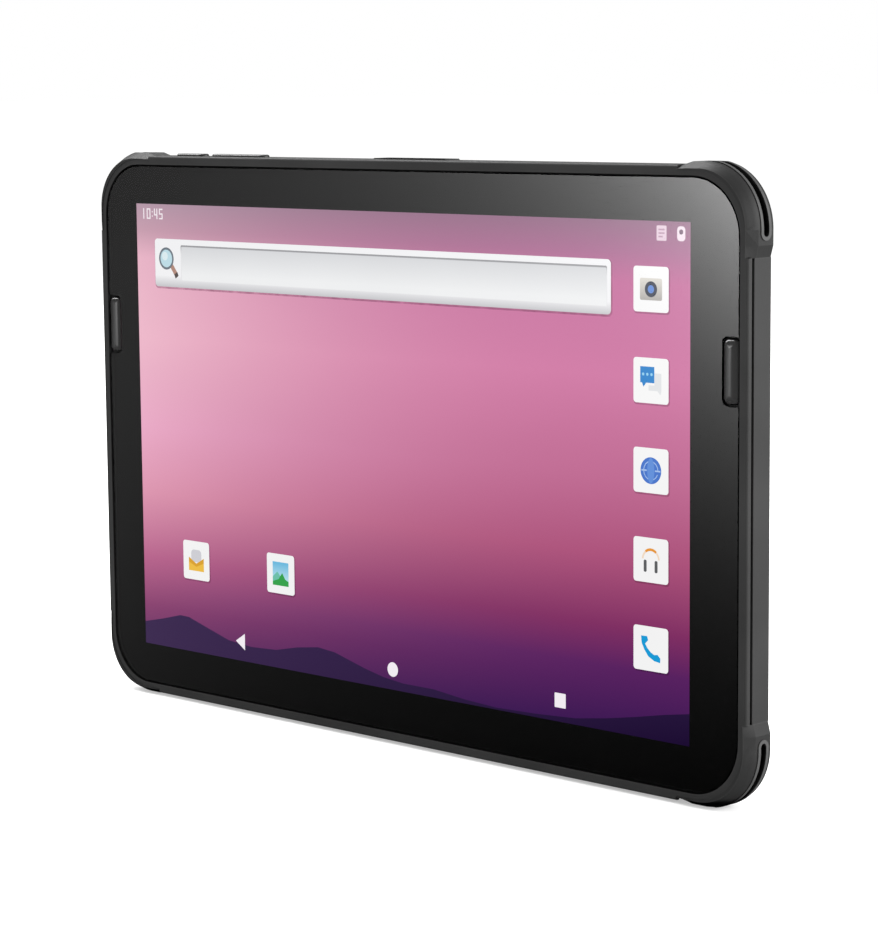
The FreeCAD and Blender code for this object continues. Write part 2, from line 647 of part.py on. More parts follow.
def key_switches():
    """Five identical switches: power, volume up and down, and the two scan keys."""
    switches = []
    for x in (POWER_X, VOLUME_X - 8.0, VOLUME_X + 8.0):
        switches.append(dome_switch().translated(V(x, TOP_KEY_DEPTH, 75.8)))
    for side in SIDES.values():
        turned = dome_switch()
        turned.rotate(V(0, 0, 0), X_AXIS, 90)
        switches.append(turned.translated(V(side * SCAN_KEY_X, 6.3, SCAN_KEY_Z)))
    return Part.makeCompound(switches)


def top_key_board():
    return block((-96.4, -54.6), (4.8, 8.4), (75.3, 75.8))


def top_key_bracket():
    shelf = block((-96.4, -54.6), (5.85, 8.4), (74.9, 75.3))
    leg = block((-96.4, -54.6), (5.85, 6.25), (70.0, 75.0))
    return fuse(shelf, leg)


def scan_key_board(side):
    return block((side * 116.6, side * 123.4), (6.3, 6.9), (21.0, 40.5))


# ---------------------------------------------------------------- port covers
def port_cover(z_range):
    z_low, z_high = z_range
    pivot = V(-RAIL_HALF_X + PIVOT_INSET, 0, z_high - PIVOT_INSET)
    depths = (COVER_DEPTH - COVER_HALF_WIDTH, COVER_DEPTH + COVER_HALF_WIDTH)
    flap = block((-RAIL_HALF_X, -RAIL_HALF_X + COVER_THICK), depths, (z_low + 0.2, pivot.z))
    flap = rounded(flap, 0.6, lambda edge: runs_along(edge, X_AXIS) and edge.BoundBox.ZMin < z_low + 1)
    knuckle = rod(PIVOT_INSET, V(pivot.x, depths[0], pivot.z), Y_AXIS, 2 * COVER_HALF_WIDTH)
    plug = block((-125.0, -123.3), (COVER_DEPTH - 1.3, COVER_DEPTH + 1.3), (z_low + 3.0, z_high - 5.0))
    bore = rod(HINGE_PIN_RADIUS + HINGE_CLEARANCE, V(pivot.x, 0, pivot.z), Y_AXIS, 12.0)
    return fuse(flap, knuckle, plug).cut(bore)


def cover_hinge_pins():
    pins = []
    for z_range in (PORT_COVER, CARD_COVER):
        start = V(-RAIL_HALF_X + PIVOT_INSET, COVER_DEPTH - 3.1, z_range[1] - PIVOT_INSET)
        pins.append(rod(HINGE_PIN_RADIUS, start, Y_AXIS, 6.2))
    return Part.makeCompound(pins)


def usb_socket():
    z = cover_middle(PORT_COVER)
    shell = usb_profile(4.5, 1.6, -122.7, -115.5, z)
    shell = shell.cut(usb_profile(4.2, 1.3, -123.0, -116.5, z))
    tongue = block((-121.8, -116.0), (COVER_DEPTH - 0.35, COVER_DEPTH + 0.35), (z - 3.2, z + 3.2))
    return fuse(shell, tongue)


def card_slot(shift, half_z, deep):
    """Space for one card in the card reader."""
    z = cover_middle(CARD_COVER) + shift
    return block((-122.5, -122.5 + deep), (5.4, 6.2), (z - half_z, z + half_z))


def card_reader():
    body = block((-122.4, -104.0), (4.8, 7.5), (-45.0, -19.0))
    return body.cut([card_slot(6.2, 5.6, 15.1), card_slot(-6.2, 4.6, 12.5)])


def memory_card():
    return card_slot(6.2, 5.5, 15.0).translated(V(0.1, 0, 0)).common(
        block((-122.4, -107.45), (5.45, 6.15), (-50.0, 0.0)))


def port_board():
    return block((-120.6, -100.0), (7.5, 8.3), (-49.0, 14.0))


# ---------------------------------------------------------------- dock connector
def dock_connector():
    body = block((-DOCK_HALF_X, DOCK_HALF_X), (DOCK_DEPTH - DOCK_HALF_WIDTH, DOCK_DEPTH + DOCK_HALF_WIDTH),
                 (-81.7, -75.0))
    flange = block((-16.5, 16.5), (DOCK_DEPTH - 1.65, DOCK_DEPTH + 1.65), (-CAVITY_HALF_Z, -75.0))
    body = fuse(body, flange)
    return body.cut([contact.copy() for contact in dock_contacts().Solids])


def dock_contacts():
    """Eight round contacts in a row."""
    contacts = []
    for index in range(8):
        x = (index - 3.5) * 3.4
        contacts.append(rod(0.8, V(x, DOCK_DEPTH, -81.9), Z_AXIS, 5.0))
    return Part.makeCompound(contacts)


def dock_board():
    return block((-25.0, 25.0), (DOCK_DEPTH + 1.65, DOCK_DEPTH + 2.45), (-75.5, -60.0))


# ---------------------------------------------------------------- electronics
def main_board():
    board = block((-94.0, 112.0), (BOARD_FRONT, BOARD_BACK), (16.5, 68.5))
    return board.cut([block((90.0, 120.0), (6.0, 9.0), (52.0, 80.0)),
                      block((-9.5, 15.5), (6.0, 9.0), (63.0, 80.0))])


def shield_can(x_range, z_range):
    """Thin metal lid over part of the board."""
    wall = 0.25
    lid = block(x_range, (BOARD_BACK, 9.6), z_range)
    inside = block((x_range[0] + wall, x_range[1] - wall), (BOARD_BACK - 1.0, 9.6 - wall),
                   (z_range[0] + wall, z_range[1] - wall))
    return lid.cut(inside)


def shield_cans():
    return Part.makeCompound([shield_can((-72.0, -30.0), (26.0, 64.0)),
                              shield_can((30.0, 74.0), (24.0, 43.0)),
                              shield_can((30.0, 74.0), (46.0, 64.0))])


def processor_chips():
    chips = []
    for x, z, half in ((-52.0, 52.0, 7.0), (-52.0, 36.0, 6.0), (44.0, 34.0, 5.0), (60.0, 55.0, 4.5)):
        chips.append(block((x - half, x + half), (BOARD_BACK, 8.8), (z - half, z + half)))
    return Part.makeCompound(chips)


def heat_spreader():
    return block((-73.0, -29.0), (9.6, 9.85), (25.0, 65.0))


def battery_pack():
    pack = plate(BATTERY_HALF_X, BATTERY_HALF_Z, 3.0, 6.0, BATTERY_BACK, 0.0, DOOR_Z)
    return pack.makeChamfer(0.3, [edge for edge in pack.Edges if at_level(edge, "y", BATTERY_BACK)])


def battery_contacts():
    return block((-9.0, 9.0), (BOARD_BACK, 9.3), (DOOR_Z + 35.0, 21.0))


def speaker(side):
    x = side * SPEAKER_X
    box = block((x - 13.0, x + 13.0), (7.2, 10.4), (SPEAKER_Z - 6.8, SPEAKER_Z + 7.0))
    cone = plate(9.5, 5.4, 5.0, 10.0, 10.6, x, SPEAKER_Z)
    return fuse(box, cone)


def speaker_meshes():
    return Part.makeCompound([plate(9.6, 5.6, 0.8, 10.7, CAVITY_BACK, side * SPEAKER_X, SPEAKER_Z)
                              for side in SIDES.values()])


def vibration_motor():
    body = rod(5.0, V(-60.0, FRAME_BACK, -70.0), Y_AXIS, 2.7)
    return fuse(body, block((-60.0, -53.5), (FRAME_BACK, 6.4), (-71.5, -68.5)))


def camera_module():
    base = block((CAMERA_X - 5.5, CAMERA_X + 5.5), (6.0, 10.0), (CAMERA_Z - 5.5, CAMERA_Z + 5.5))
    barrel = rod(3.8, V(CAMERA_X, 9.8, CAMERA_Z), Y_AXIS, 1.7)
    bowl = rod(2.2, V(CAMERA_X, 11.1, CAMERA_Z), Y_AXIS, 1.0)
    return fuse(base, barrel).cut(bowl)


def camera_trim():
    ring = rod(TRIM_RADIUS - SEAT_GAP, V(CAMERA_X, TRIM_FRONT, CAMERA_Z), Y_AXIS,
               HOUSING_BACK - TRIM_FRONT)
    flange = rod(TRIM_FLANGE_RADIUS - SEAT_GAP, V(CAMERA_X, TRIM_FLANGE_FRONT, CAMERA_Z), Y_AXIS,
                 HOUSING_BACK - TRIM_FLANGE_FRONT)
    trim = fuse(ring, flange)
    return trim.cut([rod(CAMERA_VIEW_RADIUS, V(CAMERA_X, 11.0, CAMERA_Z), Y_AXIS, 3.0),
                     rod(CAMERA_WINDOW_RADIUS, V(CAMERA_X, CAMERA_WINDOW_FRONT, CAMERA_Z), Y_AXIS, 3.0)])


def camera_window():
    return rod(CAMERA_WINDOW_RADIUS - SEAT_GAP, V(CAMERA_X, CAMERA_WINDOW_FRONT, CAMERA_Z), Y_AXIS,
               HOUSING_BACK - CAMERA_WINDOW_FRONT)


def flash_window():
    return rod(FLASH_RADIUS - SEAT_GAP, V(FLASH_X, FLASH_FRONT, CAMERA_Z), Y_AXIS,
               HOUSING_BACK - FLASH_FRONT)


def gnss_antenna():
    base = block((-93.0, -75.0), (BOARD_BACK, 10.3), (45.0, 63.0))
    pad = block((-90.5, -77.5), (10.3, 10.5), (47.5, 60.5))
    return fuse(base, pad)


def nfc_coil():
    coil = plate(15.0, 15.0, 3.0, 10.6, CAVITY_BACK, 56.0, MOUNT_Z)
    return coil.cut(plate(11.5, 11.5, 2.0, 10.0, 12.0, 56.0, MOUNT_Z))


def scan_engine():
    x = SCAN_WINDOW_X
    body = block((x - 10.5, x + 10.5), (5.9, 10.8), (64.5, 75.5))
    eyes = [rod(1.6, V(x - 5.5, 8.0, 74.5), Z_AXIS, 2.0), rod(1.1, V(x + 5.0, 8.0, 74.5), Z_AXIS, 2.0)]
    return fuse(body.cut(eyes), rod(0.9, V(x - 5.5, 8.0, 74.0), Z_AXIS, 1.0))


def scan_window():
    return scan_window_block(0.0, SCAN_BOSS_TOP - 0.2)


# ---------------------------------------------------------------- fasteners
def flat_screw(x, z, head_radius, head_back, head_thick, shank_radius, shank_front):
    """Screw driven from the back, with a cross recess in its head."""
    head_front = head_back - head_thick
    head = rod(head_radius, V(x, head_front, z), Y_AXIS, head_thick)
    shank = rod(shank_radius, V(x, shank_front, z), Y_AXIS, head_front - shank_front)
    arm = head_radius * 0.55
    slots = [block((x - arm, x + arm), (head_back - 0.35, head_back + 1), (z - 0.25, z + 0.25)),
             block((x - 0.25, x + 0.25), (head_back - 0.35, head_back + 1), (z - arm, z + arm))]
    return fuse(head, shank).cut(slots)


def housing_screws():
    head_radius = SCREW_SEAT_RADIUS - SCREW_HEAD_GAP
    return Part.makeCompound([flat_screw(x, side * SCREW_Z, head_radius, SCREW_SEAT_FRONT + 1.0, 1.0,
                                         SCREW_SHANK_RADIUS, 3.5)
                              for x in SCREW_X for side in (-1, 1)])


def door_screws():
    return Part.makeCompound([flat_screw(x, z, DOOR_SCREW_SEAT_RADIUS - 0.1, DOOR_SCREW_SEAT_FRONT + 0.6,
                                         0.6, DOOR_SCREW_SHANK_RADIUS, 10.0)
                              for x, z in DOOR_SCREW_POINTS])


def mount_inserts():
    inserts = []
    for x, z in insert_points():
        sleeve = rod(INSERT_RADIUS, V(x, INSERT_FRONT, z), Y_AXIS, HOUSING_BACK - INSERT_FRONT)
        inserts.append(sleeve.cut(rod(INSERT_BORE, V(x, INSERT_FRONT + 0.3, z), Y_AXIS, 6.0)))
    return Part.makeCompound(inserts)


# ---------------------------------------------------------------- assembly
def all_nodes():
    """Every node's name and shape, in drawing position."""
    nodes = {
        "cover_glass": cover_glass(), "border_mask": border_mask(),
        "optical_adhesive": optical_adhesive(), "touch_sensor": touch_sensor(),
        "glass_seal": glass_seal(), "display_panel": display_panel(),
        "light_guide": light_guide(), "display_tray": display_tray(),
        "display_flex": display_flex(), "front_bezel": front_bezel(),
        "housing_seal": housing_seal(), "mid_frame": mid_frame(),
        "rear_housing": rear_housing(), "battery_door": battery_door(),
        "battery_door_seal": battery_door_seal(), "power_key": power_key(),
        "volume_rocker": volume_rocker(), "rocker_pin": rocker_pin(),
        "key_switches": key_switches(), "top_key_board": top_key_board(),
        "top_key_bracket": top_key_bracket(), "port_cover": port_cover(PORT_COVER),
        "card_cover": port_cover(CARD_COVER), "cover_hinge_pins": cover_hinge_pins(),
        "usb_socket": usb_socket(), "card_reader": card_reader(), "memory_card": memory_card(),
        "port_board": port_board(), "dock_connector": dock_connector(),
        "dock_contacts": dock_contacts(), "dock_board": dock_board(),
        "main_board": main_board(), "processor_chips": processor_chips(),
        "shield_cans": shield_cans(), "heat_spreader": heat_spreader(),
        "battery_pack": battery_pack(), "battery_contacts": battery_contacts(),
        "speaker_meshes": speaker_meshes(), "vibration_motor": vibration_motor(),
        "camera_module": camera_module(), "camera_trim": camera_trim(),
        "camera_window": camera_window(), "flash_window": flash_window(),
        "gnss_antenna": gnss_antenna(), "nfc_coil": nfc_coil(),
        "scan_engine": scan_engine(), "scan_window": scan_window(),
        "housing_screws": housing_screws(), "door_screws": door_screws(),
        "mount_inserts": mount_inserts(),
    }
    bumper = corner_bumper()
    for side_name, side in SIDES.items():
        nodes["scan_key_" + side_name] = scan_key(side)
        nodes["scan_key_board_" + side_name] = scan_key_board(side)
        nodes["speaker_" + side_name] = speaker(side)
        for level_name, level in LEVELS.items():
            nodes[f"corner_bumper_{level_name}_{side_name}"] = mirrored(bumper, side, level)
    return nodes


def placed(shape):
    """Move from the drawing position to the part's own frame."""
    return shape.translated(V(0, -THICKNESS / 2, BUMPER_HALF_Z))


def main():
    os.makedirs("parts", exist_ok=True)
    for name, shape in all_nodes().items():
        placed(shape).exportStep(f"parts/{name}.step")
        solids = len(shape.Solids)
        print(f"{name:28s} solids {solids}  volume {shape.Volume / 1000:8.3f} cm3  valid {shape.isValid()}")


main()
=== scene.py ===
import json
import math

import bmesh
import bpy
from mathutils import Matrix, Vector


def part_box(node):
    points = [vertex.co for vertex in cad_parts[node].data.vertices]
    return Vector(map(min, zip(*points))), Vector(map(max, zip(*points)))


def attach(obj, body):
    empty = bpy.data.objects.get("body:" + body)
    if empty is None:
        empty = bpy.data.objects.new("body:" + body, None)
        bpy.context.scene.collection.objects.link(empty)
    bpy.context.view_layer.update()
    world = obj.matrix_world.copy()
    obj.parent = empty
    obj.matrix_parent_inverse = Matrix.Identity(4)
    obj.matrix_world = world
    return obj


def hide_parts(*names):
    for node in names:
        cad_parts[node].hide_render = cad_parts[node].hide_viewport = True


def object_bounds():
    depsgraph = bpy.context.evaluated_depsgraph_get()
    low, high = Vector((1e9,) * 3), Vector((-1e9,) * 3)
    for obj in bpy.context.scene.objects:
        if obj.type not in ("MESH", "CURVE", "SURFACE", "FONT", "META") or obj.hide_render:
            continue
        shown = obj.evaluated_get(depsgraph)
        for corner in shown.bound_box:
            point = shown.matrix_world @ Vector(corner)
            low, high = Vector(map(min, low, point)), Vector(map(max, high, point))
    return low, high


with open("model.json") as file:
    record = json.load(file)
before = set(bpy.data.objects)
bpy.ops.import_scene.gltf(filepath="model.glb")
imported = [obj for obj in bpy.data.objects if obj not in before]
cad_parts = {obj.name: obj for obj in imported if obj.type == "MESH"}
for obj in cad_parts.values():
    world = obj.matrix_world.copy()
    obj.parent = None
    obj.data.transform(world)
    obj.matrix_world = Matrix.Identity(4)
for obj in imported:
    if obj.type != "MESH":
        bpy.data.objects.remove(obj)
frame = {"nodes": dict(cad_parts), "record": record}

MM = 0.001
CAD_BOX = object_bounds()
scene = bpy.context.scene
NODES = frame["nodes"]


# ---------------------------------------------------------------- shader helpers
# Sockets of the mix node that carry the share and the colours.
MIX_SHARE, MIX_FIRST, MIX_SECOND, MIX_RESULT = 0, 6, 7, 2


class Shader:
    """A node material under construction."""

    def __init__(self, name):
        self.material = bpy.data.materials.new(name)
        self.material.use_nodes = True
        self.tree = self.material.node_tree
        self.tree.nodes.clear()
        self.output = self.add("ShaderNodeOutputMaterial")
        self.place = self.add("ShaderNodeTexCoord").outputs["Object"]

    def add(self, kind, **inputs):
        """New node, with its inputs set to values or linked to sockets."""
        node = self.tree.nodes.new(kind)
        for key, value in inputs.items():
            self.feed(node.inputs[key.replace("_", " ")], value)
        return node

    def feed(self, socket, value):
        if isinstance(value, bpy.types.NodeSocket):
            self.tree.links.new(value, socket)
        else:
            socket.default_value = value

    def math(self, operation, *values):
        node = self.tree.nodes.new("ShaderNodeMath")
        node.operation = operation
        for index, value in enumerate(values):
            self.feed(node.inputs[index], value)
        return node.outputs[0]

    def mix(self, share, first, second):
        """Colour between first and second."""
        node = self.tree.nodes.new("ShaderNodeMix")
        node.data_type = "RGBA"
        self.feed(node.inputs[MIX_SHARE], share)
        self.feed(node.inputs[MIX_FIRST], first)
        self.feed(node.inputs[MIX_SECOND], second)
        return node.outputs[MIX_RESULT]

    def noise(self, scale, detail=2.0, stretch=(1, 1, 1)):
        """Noise value; scale is in features per metre."""
        mapping = self.add("ShaderNodeMapping", Vector=self.place, Scale=stretch)
        node = self.add("ShaderNodeTexNoise", Vector=mapping.outputs[0], Scale=scale, Detail=detail)
        return node.outputs["Fac"]

    def spread(self, value, low, high, to_low=0.0, to_high=1.0):
        """Map a value from one range to another, clamped."""
        node = self.add("ShaderNodeMapRange", Value=value)
        for key, number in (("From Min", low), ("From Max", high), ("To Min", to_low), ("To Max", to_high)):
            node.inputs[key].default_value = number
        return node.outputs[0]

    def bump(self, height, distance, strength=1.0):
        return self.add("ShaderNodeBump", Height=height, Distance=distance, Strength=strength).outputs[0]

    def axes(self):
        """The x, y and z of the object-space position."""
        return self.add("ShaderNodeSeparateXYZ", Vector=self.place).outputs

    def surface(self, shader):
        self.feed(self.output.inputs["Surface"], shader)
        return self.material


def grey(level):
    """Neutral linear colour."""
    return (level, level, level, 1.0)


EDGE_REACH = 0.35 * MM          # how far the paler edge, wear and painted highlight, reaches
RUBBED_AND_LIT_GAIN = 2.4               # how much paler an edge with wear and painted highlight is
GRAIN_SHARE = 0.25              # how far the grain's hollows darken
BUMPER_RADIUS = 16.8 * MM       # outer corner of the bumpers
RIM_RAISE = 0.3 * MM            # how far the slot rims stand proud of it


def moulded(name, dark, light, roughness, grain=2600.0, depth=0.02, edge_wear_and_highlight=0.25, painted_shade_reach=0.0, gloss=0.5,
            painted_rim_highlight=False):
    """Moulded plastic or rubber: fine spark-eroded grain, uneven sheen, and paler edges that are partly
    rubbing wear and partly a painted highlight.

    Gaps narrower than the shade reach, in millimetres, darken with painted shade.  The raised rims round the
    strap slots can be made paler with a painted highlight.
    ridge, the raised rims round the strap slots are paler where straps and bags rub them.
    """
    s = Shader(name)
    fine = s.noise(grain, 3.0)
    broad = s.noise(45.0, 4.0)
    smear = s.noise(90.0, 3.0)
    colour = s.mix(s.spread(broad, 0.3, 0.7), dark, light)
    rubbed_and_lit = tuple(min(1.0, c * RUBBED_AND_LIT_GAIN) for c in light[:3]) + (1.0,)
    # paler edges: partly rubbing wear, partly a painted edge highlight
    colour = s.mix(s.math("MULTIPLY", edge_share(s), edge_wear_and_highlight), colour, rubbed_and_lit)
    colour = s.mix(s.math("MULTIPLY", s.spread(fine, 0.35, 0.65), GRAIN_SHARE), colour, dark)
    # painted highlight: the strap-slot rims are made paler
    if painted_rim_highlight:
        colour = s.mix(slot_rim_share(s), colour, rubbed_and_lit)
    # painted shade: ambient occlusion darkens gaps and recesses towards black
    if painted_shade_reach:
        painted_shade_ao = s.add("ShaderNodeAmbientOcclusion", Distance=painted_shade_reach * MM)
        painted_shade_ao.samples = 8
        colour = s.mix(s.spread(painted_shade_ao.outputs["AO"], 0.4, 0.75), grey(0.001), colour)
    rough = s.spread(smear, 0.3, 0.7, roughness - 0.02, roughness + 0.03)
    normal = s.bump(fine, depth * MM, 0.5)
    shader = s.add("ShaderNodeBsdfPrincipled", Base_Color=colour, Roughness=rough, Normal=normal)
    shader.inputs["Specular IOR Level"].default_value = gloss
    return s.surface(shader.outputs[0])


def edge_share(s):
    """1 along the edges of a piece and 0 on its open faces, from how far a rounded normal turns there."""
    rounded = s.add("ShaderNodeBevel", Radius=EDGE_REACH)
    rounded.samples = 4
    dot = s.add("ShaderNodeVectorMath")
    dot.operation = "DOT_PRODUCT"
    s.feed(dot.inputs[0], rounded.outputs["Normal"])
    s.feed(dot.inputs[1], s.add("ShaderNodeNewGeometry").outputs["Normal"])
    return s.spread(dot.outputs["Value"], 0.995, 0.93)


def slot_rim_share(s):
    """1 on the raised rims of the corner bumpers, where the painted highlight goes, 0 on the rest."""
    low, high = CAD_BOX
    x, _, z = s.axes()
    from_middle = s.math("SUBTRACT", z, (low.z + high.z) / 2)
    out_x = s.math("SUBTRACT", s.math("ABSOLUTE", x), high.x - RIM_RAISE - BUMPER_RADIUS)
    out_z = s.math("SUBTRACT", s.math("ABSOLUTE", from_middle), (high.z - low.z) / 2 - BUMPER_RADIUS)
    out_x = s.math("MAXIMUM", out_x, 0.0)
    out_z = s.math("MAXIMUM", out_z, 0.0)
    squares = s.math("ADD", s.math("MULTIPLY", out_x, out_x), s.math("MULTIPLY", out_z, out_z))
    reach = s.math("SQRT", squares)
    return s.spread(reach, BUMPER_RADIUS + RIM_RAISE * 0.3, BUMPER_RADIUS + RIM_RAISE * 0.7)


def metal(name, colour, roughness, brushed=(1, 1, 1), scale=900.0):
    """Bare or plated metal with fine directional scratches."""
    s = Shader(name)
    lines = s.noise(scale, 4.0, brushed)
    tarnish = s.noise(120.0, 3.0)
    darker = tuple(c * 0.7 for c in colour[:3]) + (1.0,)
    shade = s.mix(s.spread(tarnish, 0.35, 0.7), colour, darker)
    rough = s.spread(lines, 0.3, 0.7, roughness - 0.06, roughness + 0.1)
    shader = s.add("ShaderNodeBsdfPrincipled", Base_Color=shade, Metallic=0.75, Roughness=rough,
                   Normal=s.bump(lines, 0.01 * MM, 0.4))
    return s.surface(shader.outputs[0])


GLASS_GLOSS = 0.045             # share mirrored when seen face on
GLASS_GRAZING = 0.9             # what grazing light adds to it


def clear_pane(name, tint, level, sign):
    """Clear window: see-through, with gloss only on its outer face.

    The outer face is beyond the level on the y axis, in metres, on the side that sign gives.
    """
    s = Shader(name)
    smudge = s.noise(28.0, 3.0, (1, 1, 1.6))
    rough = s.spread(smudge, 0.45, 0.75, 0.008, 0.028)
    through = s.add("ShaderNodeBsdfTransparent", Color=tint)
    gloss = s.add("ShaderNodeBsdfGlossy", Color=(1, 1, 1, 1), Roughness=rough)
    grazing = s.math("POWER", s.add("ShaderNodeLayerWeight").outputs["Facing"], 5.0)
    gloss_share = s.math("ADD", s.math("MULTIPLY", grazing, GLASS_GRAZING), GLASS_GLOSS)
    beyond = s.math("MULTIPLY", s.math("SUBTRACT", s.axes()[1], level), sign)
    share = s.math("MULTIPLY", gloss_share, s.math("GREATER_THAN", beyond, 0.0))
    shader = s.add("ShaderNodeMixShader", Fac=share)
    s.feed(shader.inputs[1], through.outputs[0])
    s.feed(shader.inputs[2], gloss.outputs[0])
    return s.surface(shader.outputs[0])


def film(name, tint):
    """Invisible optical film."""
    s = Shader(name)
    colour = s.mix(s.noise(300.0), tint, (1, 1, 1, 1))
    return s.surface(s.add("ShaderNodeBsdfTransparent", Color=colour).outputs[0])


def circuit_board():
    """Green solder mask with copper tracks under it and tinned pads."""
    s = Shader("circuit_board")
    tracks = s.add("ShaderNodeTexBrick", Vector=s.place, Scale=260.0)
    tracks.inputs["Color1"].default_value = (0.01, 0.09, 0.04, 1)
    tracks.inputs["Color2"].default_value = (0.015, 0.13, 0.06, 1)
    tracks.inputs["Mortar"].default_value = (0.03, 0.2, 0.09, 1)
    pads = s.add("ShaderNodeTexVoronoi", Vector=s.place, Scale=420.0)
    tinned = s.spread(pads.outputs["Distance"], 0.16, 0.12)
    colour = s.mix(tinned, tracks.outputs["Color"], (0.6, 0.6, 0.58, 1))
    shader = s.add("ShaderNodeBsdfPrincipled", Base_Color=colour, Metallic=tinned, Roughness=0.35,
                   Normal=s.bump(tracks.outputs["Fac"], 0.03 * MM))
    return s.surface(shader.outputs[0])


def perforated_metal():
    """Black steel mesh with round holes."""
    s = Shader("speaker_mesh")
    cells = s.add("ShaderNodeTexVoronoi", Vector=s.place, Scale=2200.0)
    cells.inputs["Randomness"].default_value = 0.1
    hole = s.spread(cells.outputs["Distance"], 0.3, 0.36)
    colour = s.mix(hole, grey(0.002), grey(0.06))
    shader = s.add("ShaderNodeBsdfPrincipled", Base_Color=colour, Roughness=0.45, Metallic=hole,
                   Normal=s.bump(hole, 0.1 * MM))
    return s.surface(shader.outputs[0])


# ---------------------------------------------------------------- materials by record slot
SKIN = 0.1 * MM                 # depth from an outer face within which a pane is glossy
GLASS_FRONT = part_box("cover_glass")[0].y
SCAN_CAP = moulded("scan_key_rubber", grey(0.022), grey(0.030), 0.22, 3200.0, 0.012, 0.35, 1.0, 0.75)
SLOT_MATERIALS = {
    "cover_glass": clear_pane("cover_glass", (0.98, 0.98, 0.98, 1), GLASS_FRONT + SKIN, -1),
    "black_ink": moulded("black_ink", grey(0.0008), grey(0.0012), 0.8, 400.0, 0.0, 0.0, gloss=0.0),
    "clear_film": film("clear_film", (0.97, 0.98, 0.98, 1)),
    "foam": moulded("foam", grey(0.01), grey(0.02), 0.9, 1500.0, 0.1, 0.0),
    "display": moulded("display_glass", grey(0.02), grey(0.03), 0.15, 3000.0, 0.001, 0.0),
    "light_guide": moulded("light_guide", grey(0.7), grey(0.8), 0.2, 800.0, 0.005, 0.0),
    "sheet_metal": metal("sheet_metal", (0.62, 0.63, 0.64, 1), 0.32, (1, 1, 12)),
    "flex_cable": moulded("flex_cable", (0.35, 0.16, 0.02, 1), (0.45, 0.22, 0.03, 1), 0.35, 900.0, 0.01,
                          0.0),
    "casing": moulded("casing_plastic", grey(0.024), grey(0.031), 0.55, painted_shade_reach=1.2, gloss=0.12),
    "seal_rubber": moulded("seal_rubber", grey(0.034), grey(0.044), 0.75, 1800.0, 0.03, 0.0, gloss=0.1),
    "cast_frame": metal("cast_frame", (0.42, 0.43, 0.44, 1), 0.5, (1, 1, 1), 700.0),
    "key_rubber": moulded("key_rubber", grey(0.022), grey(0.030), 0.4, 3200.0, 0.012, 0.35, 1.0, 0.3),
    "steel": metal("steel", (0.6, 0.6, 0.6, 1), 0.25, (1, 14, 1)),
    "switch_body": moulded("switch_body", grey(0.02), grey(0.03), 0.4),
    "circuit_board": circuit_board(),
    "cover_rubber": moulded("cover_rubber", grey(0.022), grey(0.029), 0.5, 2200.0, 0.03, 0.4, 0.8, 0.2),
    "card_plastic": moulded("card_plastic", grey(0.02), grey(0.025), 0.35),
    "gold_contact": metal("gold_contact", (0.9, 0.64, 0.25, 1), 0.22, (1, 1, 10)),
    "chip": moulded("chip", grey(0.012), grey(0.02), 0.5, 2500.0, 0.01, 0.1),
    "graphite": moulded("graphite", grey(0.04), grey(0.06), 0.3, 500.0, 0.01, 0.0),
    "battery": moulded("battery_wrap", grey(0.03), grey(0.04), 0.3, 600.0, 0.02, 0.2),
    "mesh": perforated_metal(),
    "trim_ring": moulded("trim_ring", grey(0.010), grey(0.016), 0.3, 1800.0, 0.005, 0.6, gloss=0.6),
    "lens": moulded("lens", (0.004, 0.004, 0.008, 1), (0.006, 0.006, 0.014, 1), 0.12, 500.0, 0.0, 0.0,
                    gloss=0.2),
    "diffuser": moulded("diffuser", (0.42, 0.38, 0.2, 1), (0.55, 0.5, 0.3, 1), 0.3, 900.0, 0.05, 0.3),
    "ceramic": moulded("ceramic", (0.5, 0.42, 0.3, 1), (0.6, 0.52, 0.4, 1), 0.5),
    "ferrite": moulded("ferrite", grey(0.05), grey(0.07), 0.6),
    "black_steel": moulded("black_steel", grey(0.03), grey(0.045), 0.35, 2200.0, 0.01, 0.8, gloss=0.6),
    "insert_brass": metal("insert_brass", (0.72, 0.5, 0.2, 1), 0.28, (1, 12, 1)),
    "speaker_box": moulded("speaker_box", grey(0.02), grey(0.03), 0.5),
    # bumper: painted shade deep in the strap slots (4.5 mm occlusion reach) and a painted highlight on the
    # slot rims
    "bumper_rubber": moulded("bumper_rubber", grey(0.018), grey(0.024), 0.5, 1900.0, 0.04, 0.35, 4.5, 0.12,
                             True),
}


def dress_cad_nodes():
    """Give every CAD node the material of its record slot."""
    for entry in frame["record"]["subparts"]:
        mesh = NODES[entry["node"]].data
        mesh.materials.clear()
        mesh.materials.append(SLOT_MATERIALS[entry["material_slot"]])


def soften(node, width):
    """Round the sharp edges of a CAD node with modifiers."""
    piece = NODES[node]
    weld = piece.modifiers.new("weld", "WELD")
    weld.merge_threshold = 0.001 * MM
    bevel = piece.modifiers.new("edges", "BEVEL")
    bevel.width = width
    bevel.segments = 2
    bevel.limit_method = "ANGLE"
    bevel.angle_limit = math.radians(35)


def part_faces(node, by):
    """Draw a CAD node's faces in a little, so that none lies exactly on its neighbour's."""
    displace = NODES[node].modifiers.new("apart", "DISPLACE")
    displace.mid_level = 0.0
    displace.strength = -by


dress_cad_nodes()
for level in ("top", "bottom"):
    for side in ("left", "right"):
        soften(f"corner_bumper_{level}_{side}", 0.3 * MM)
part_faces("border_mask", 0.01 * MM)


# ---------------------------------------------------------------- outlines
def disc(x, z, radius, steps=40, start=0.0, end=360.0):
    """Points round an arc, in millimetres."""
    count = steps if end - start >= 360 else steps + 1
    turns = [math.radians(start + (end - start) * i / steps) for i in range(count)]
    return [(x + radius * math.cos(t), z + radius * math.sin(t)) for t in turns]


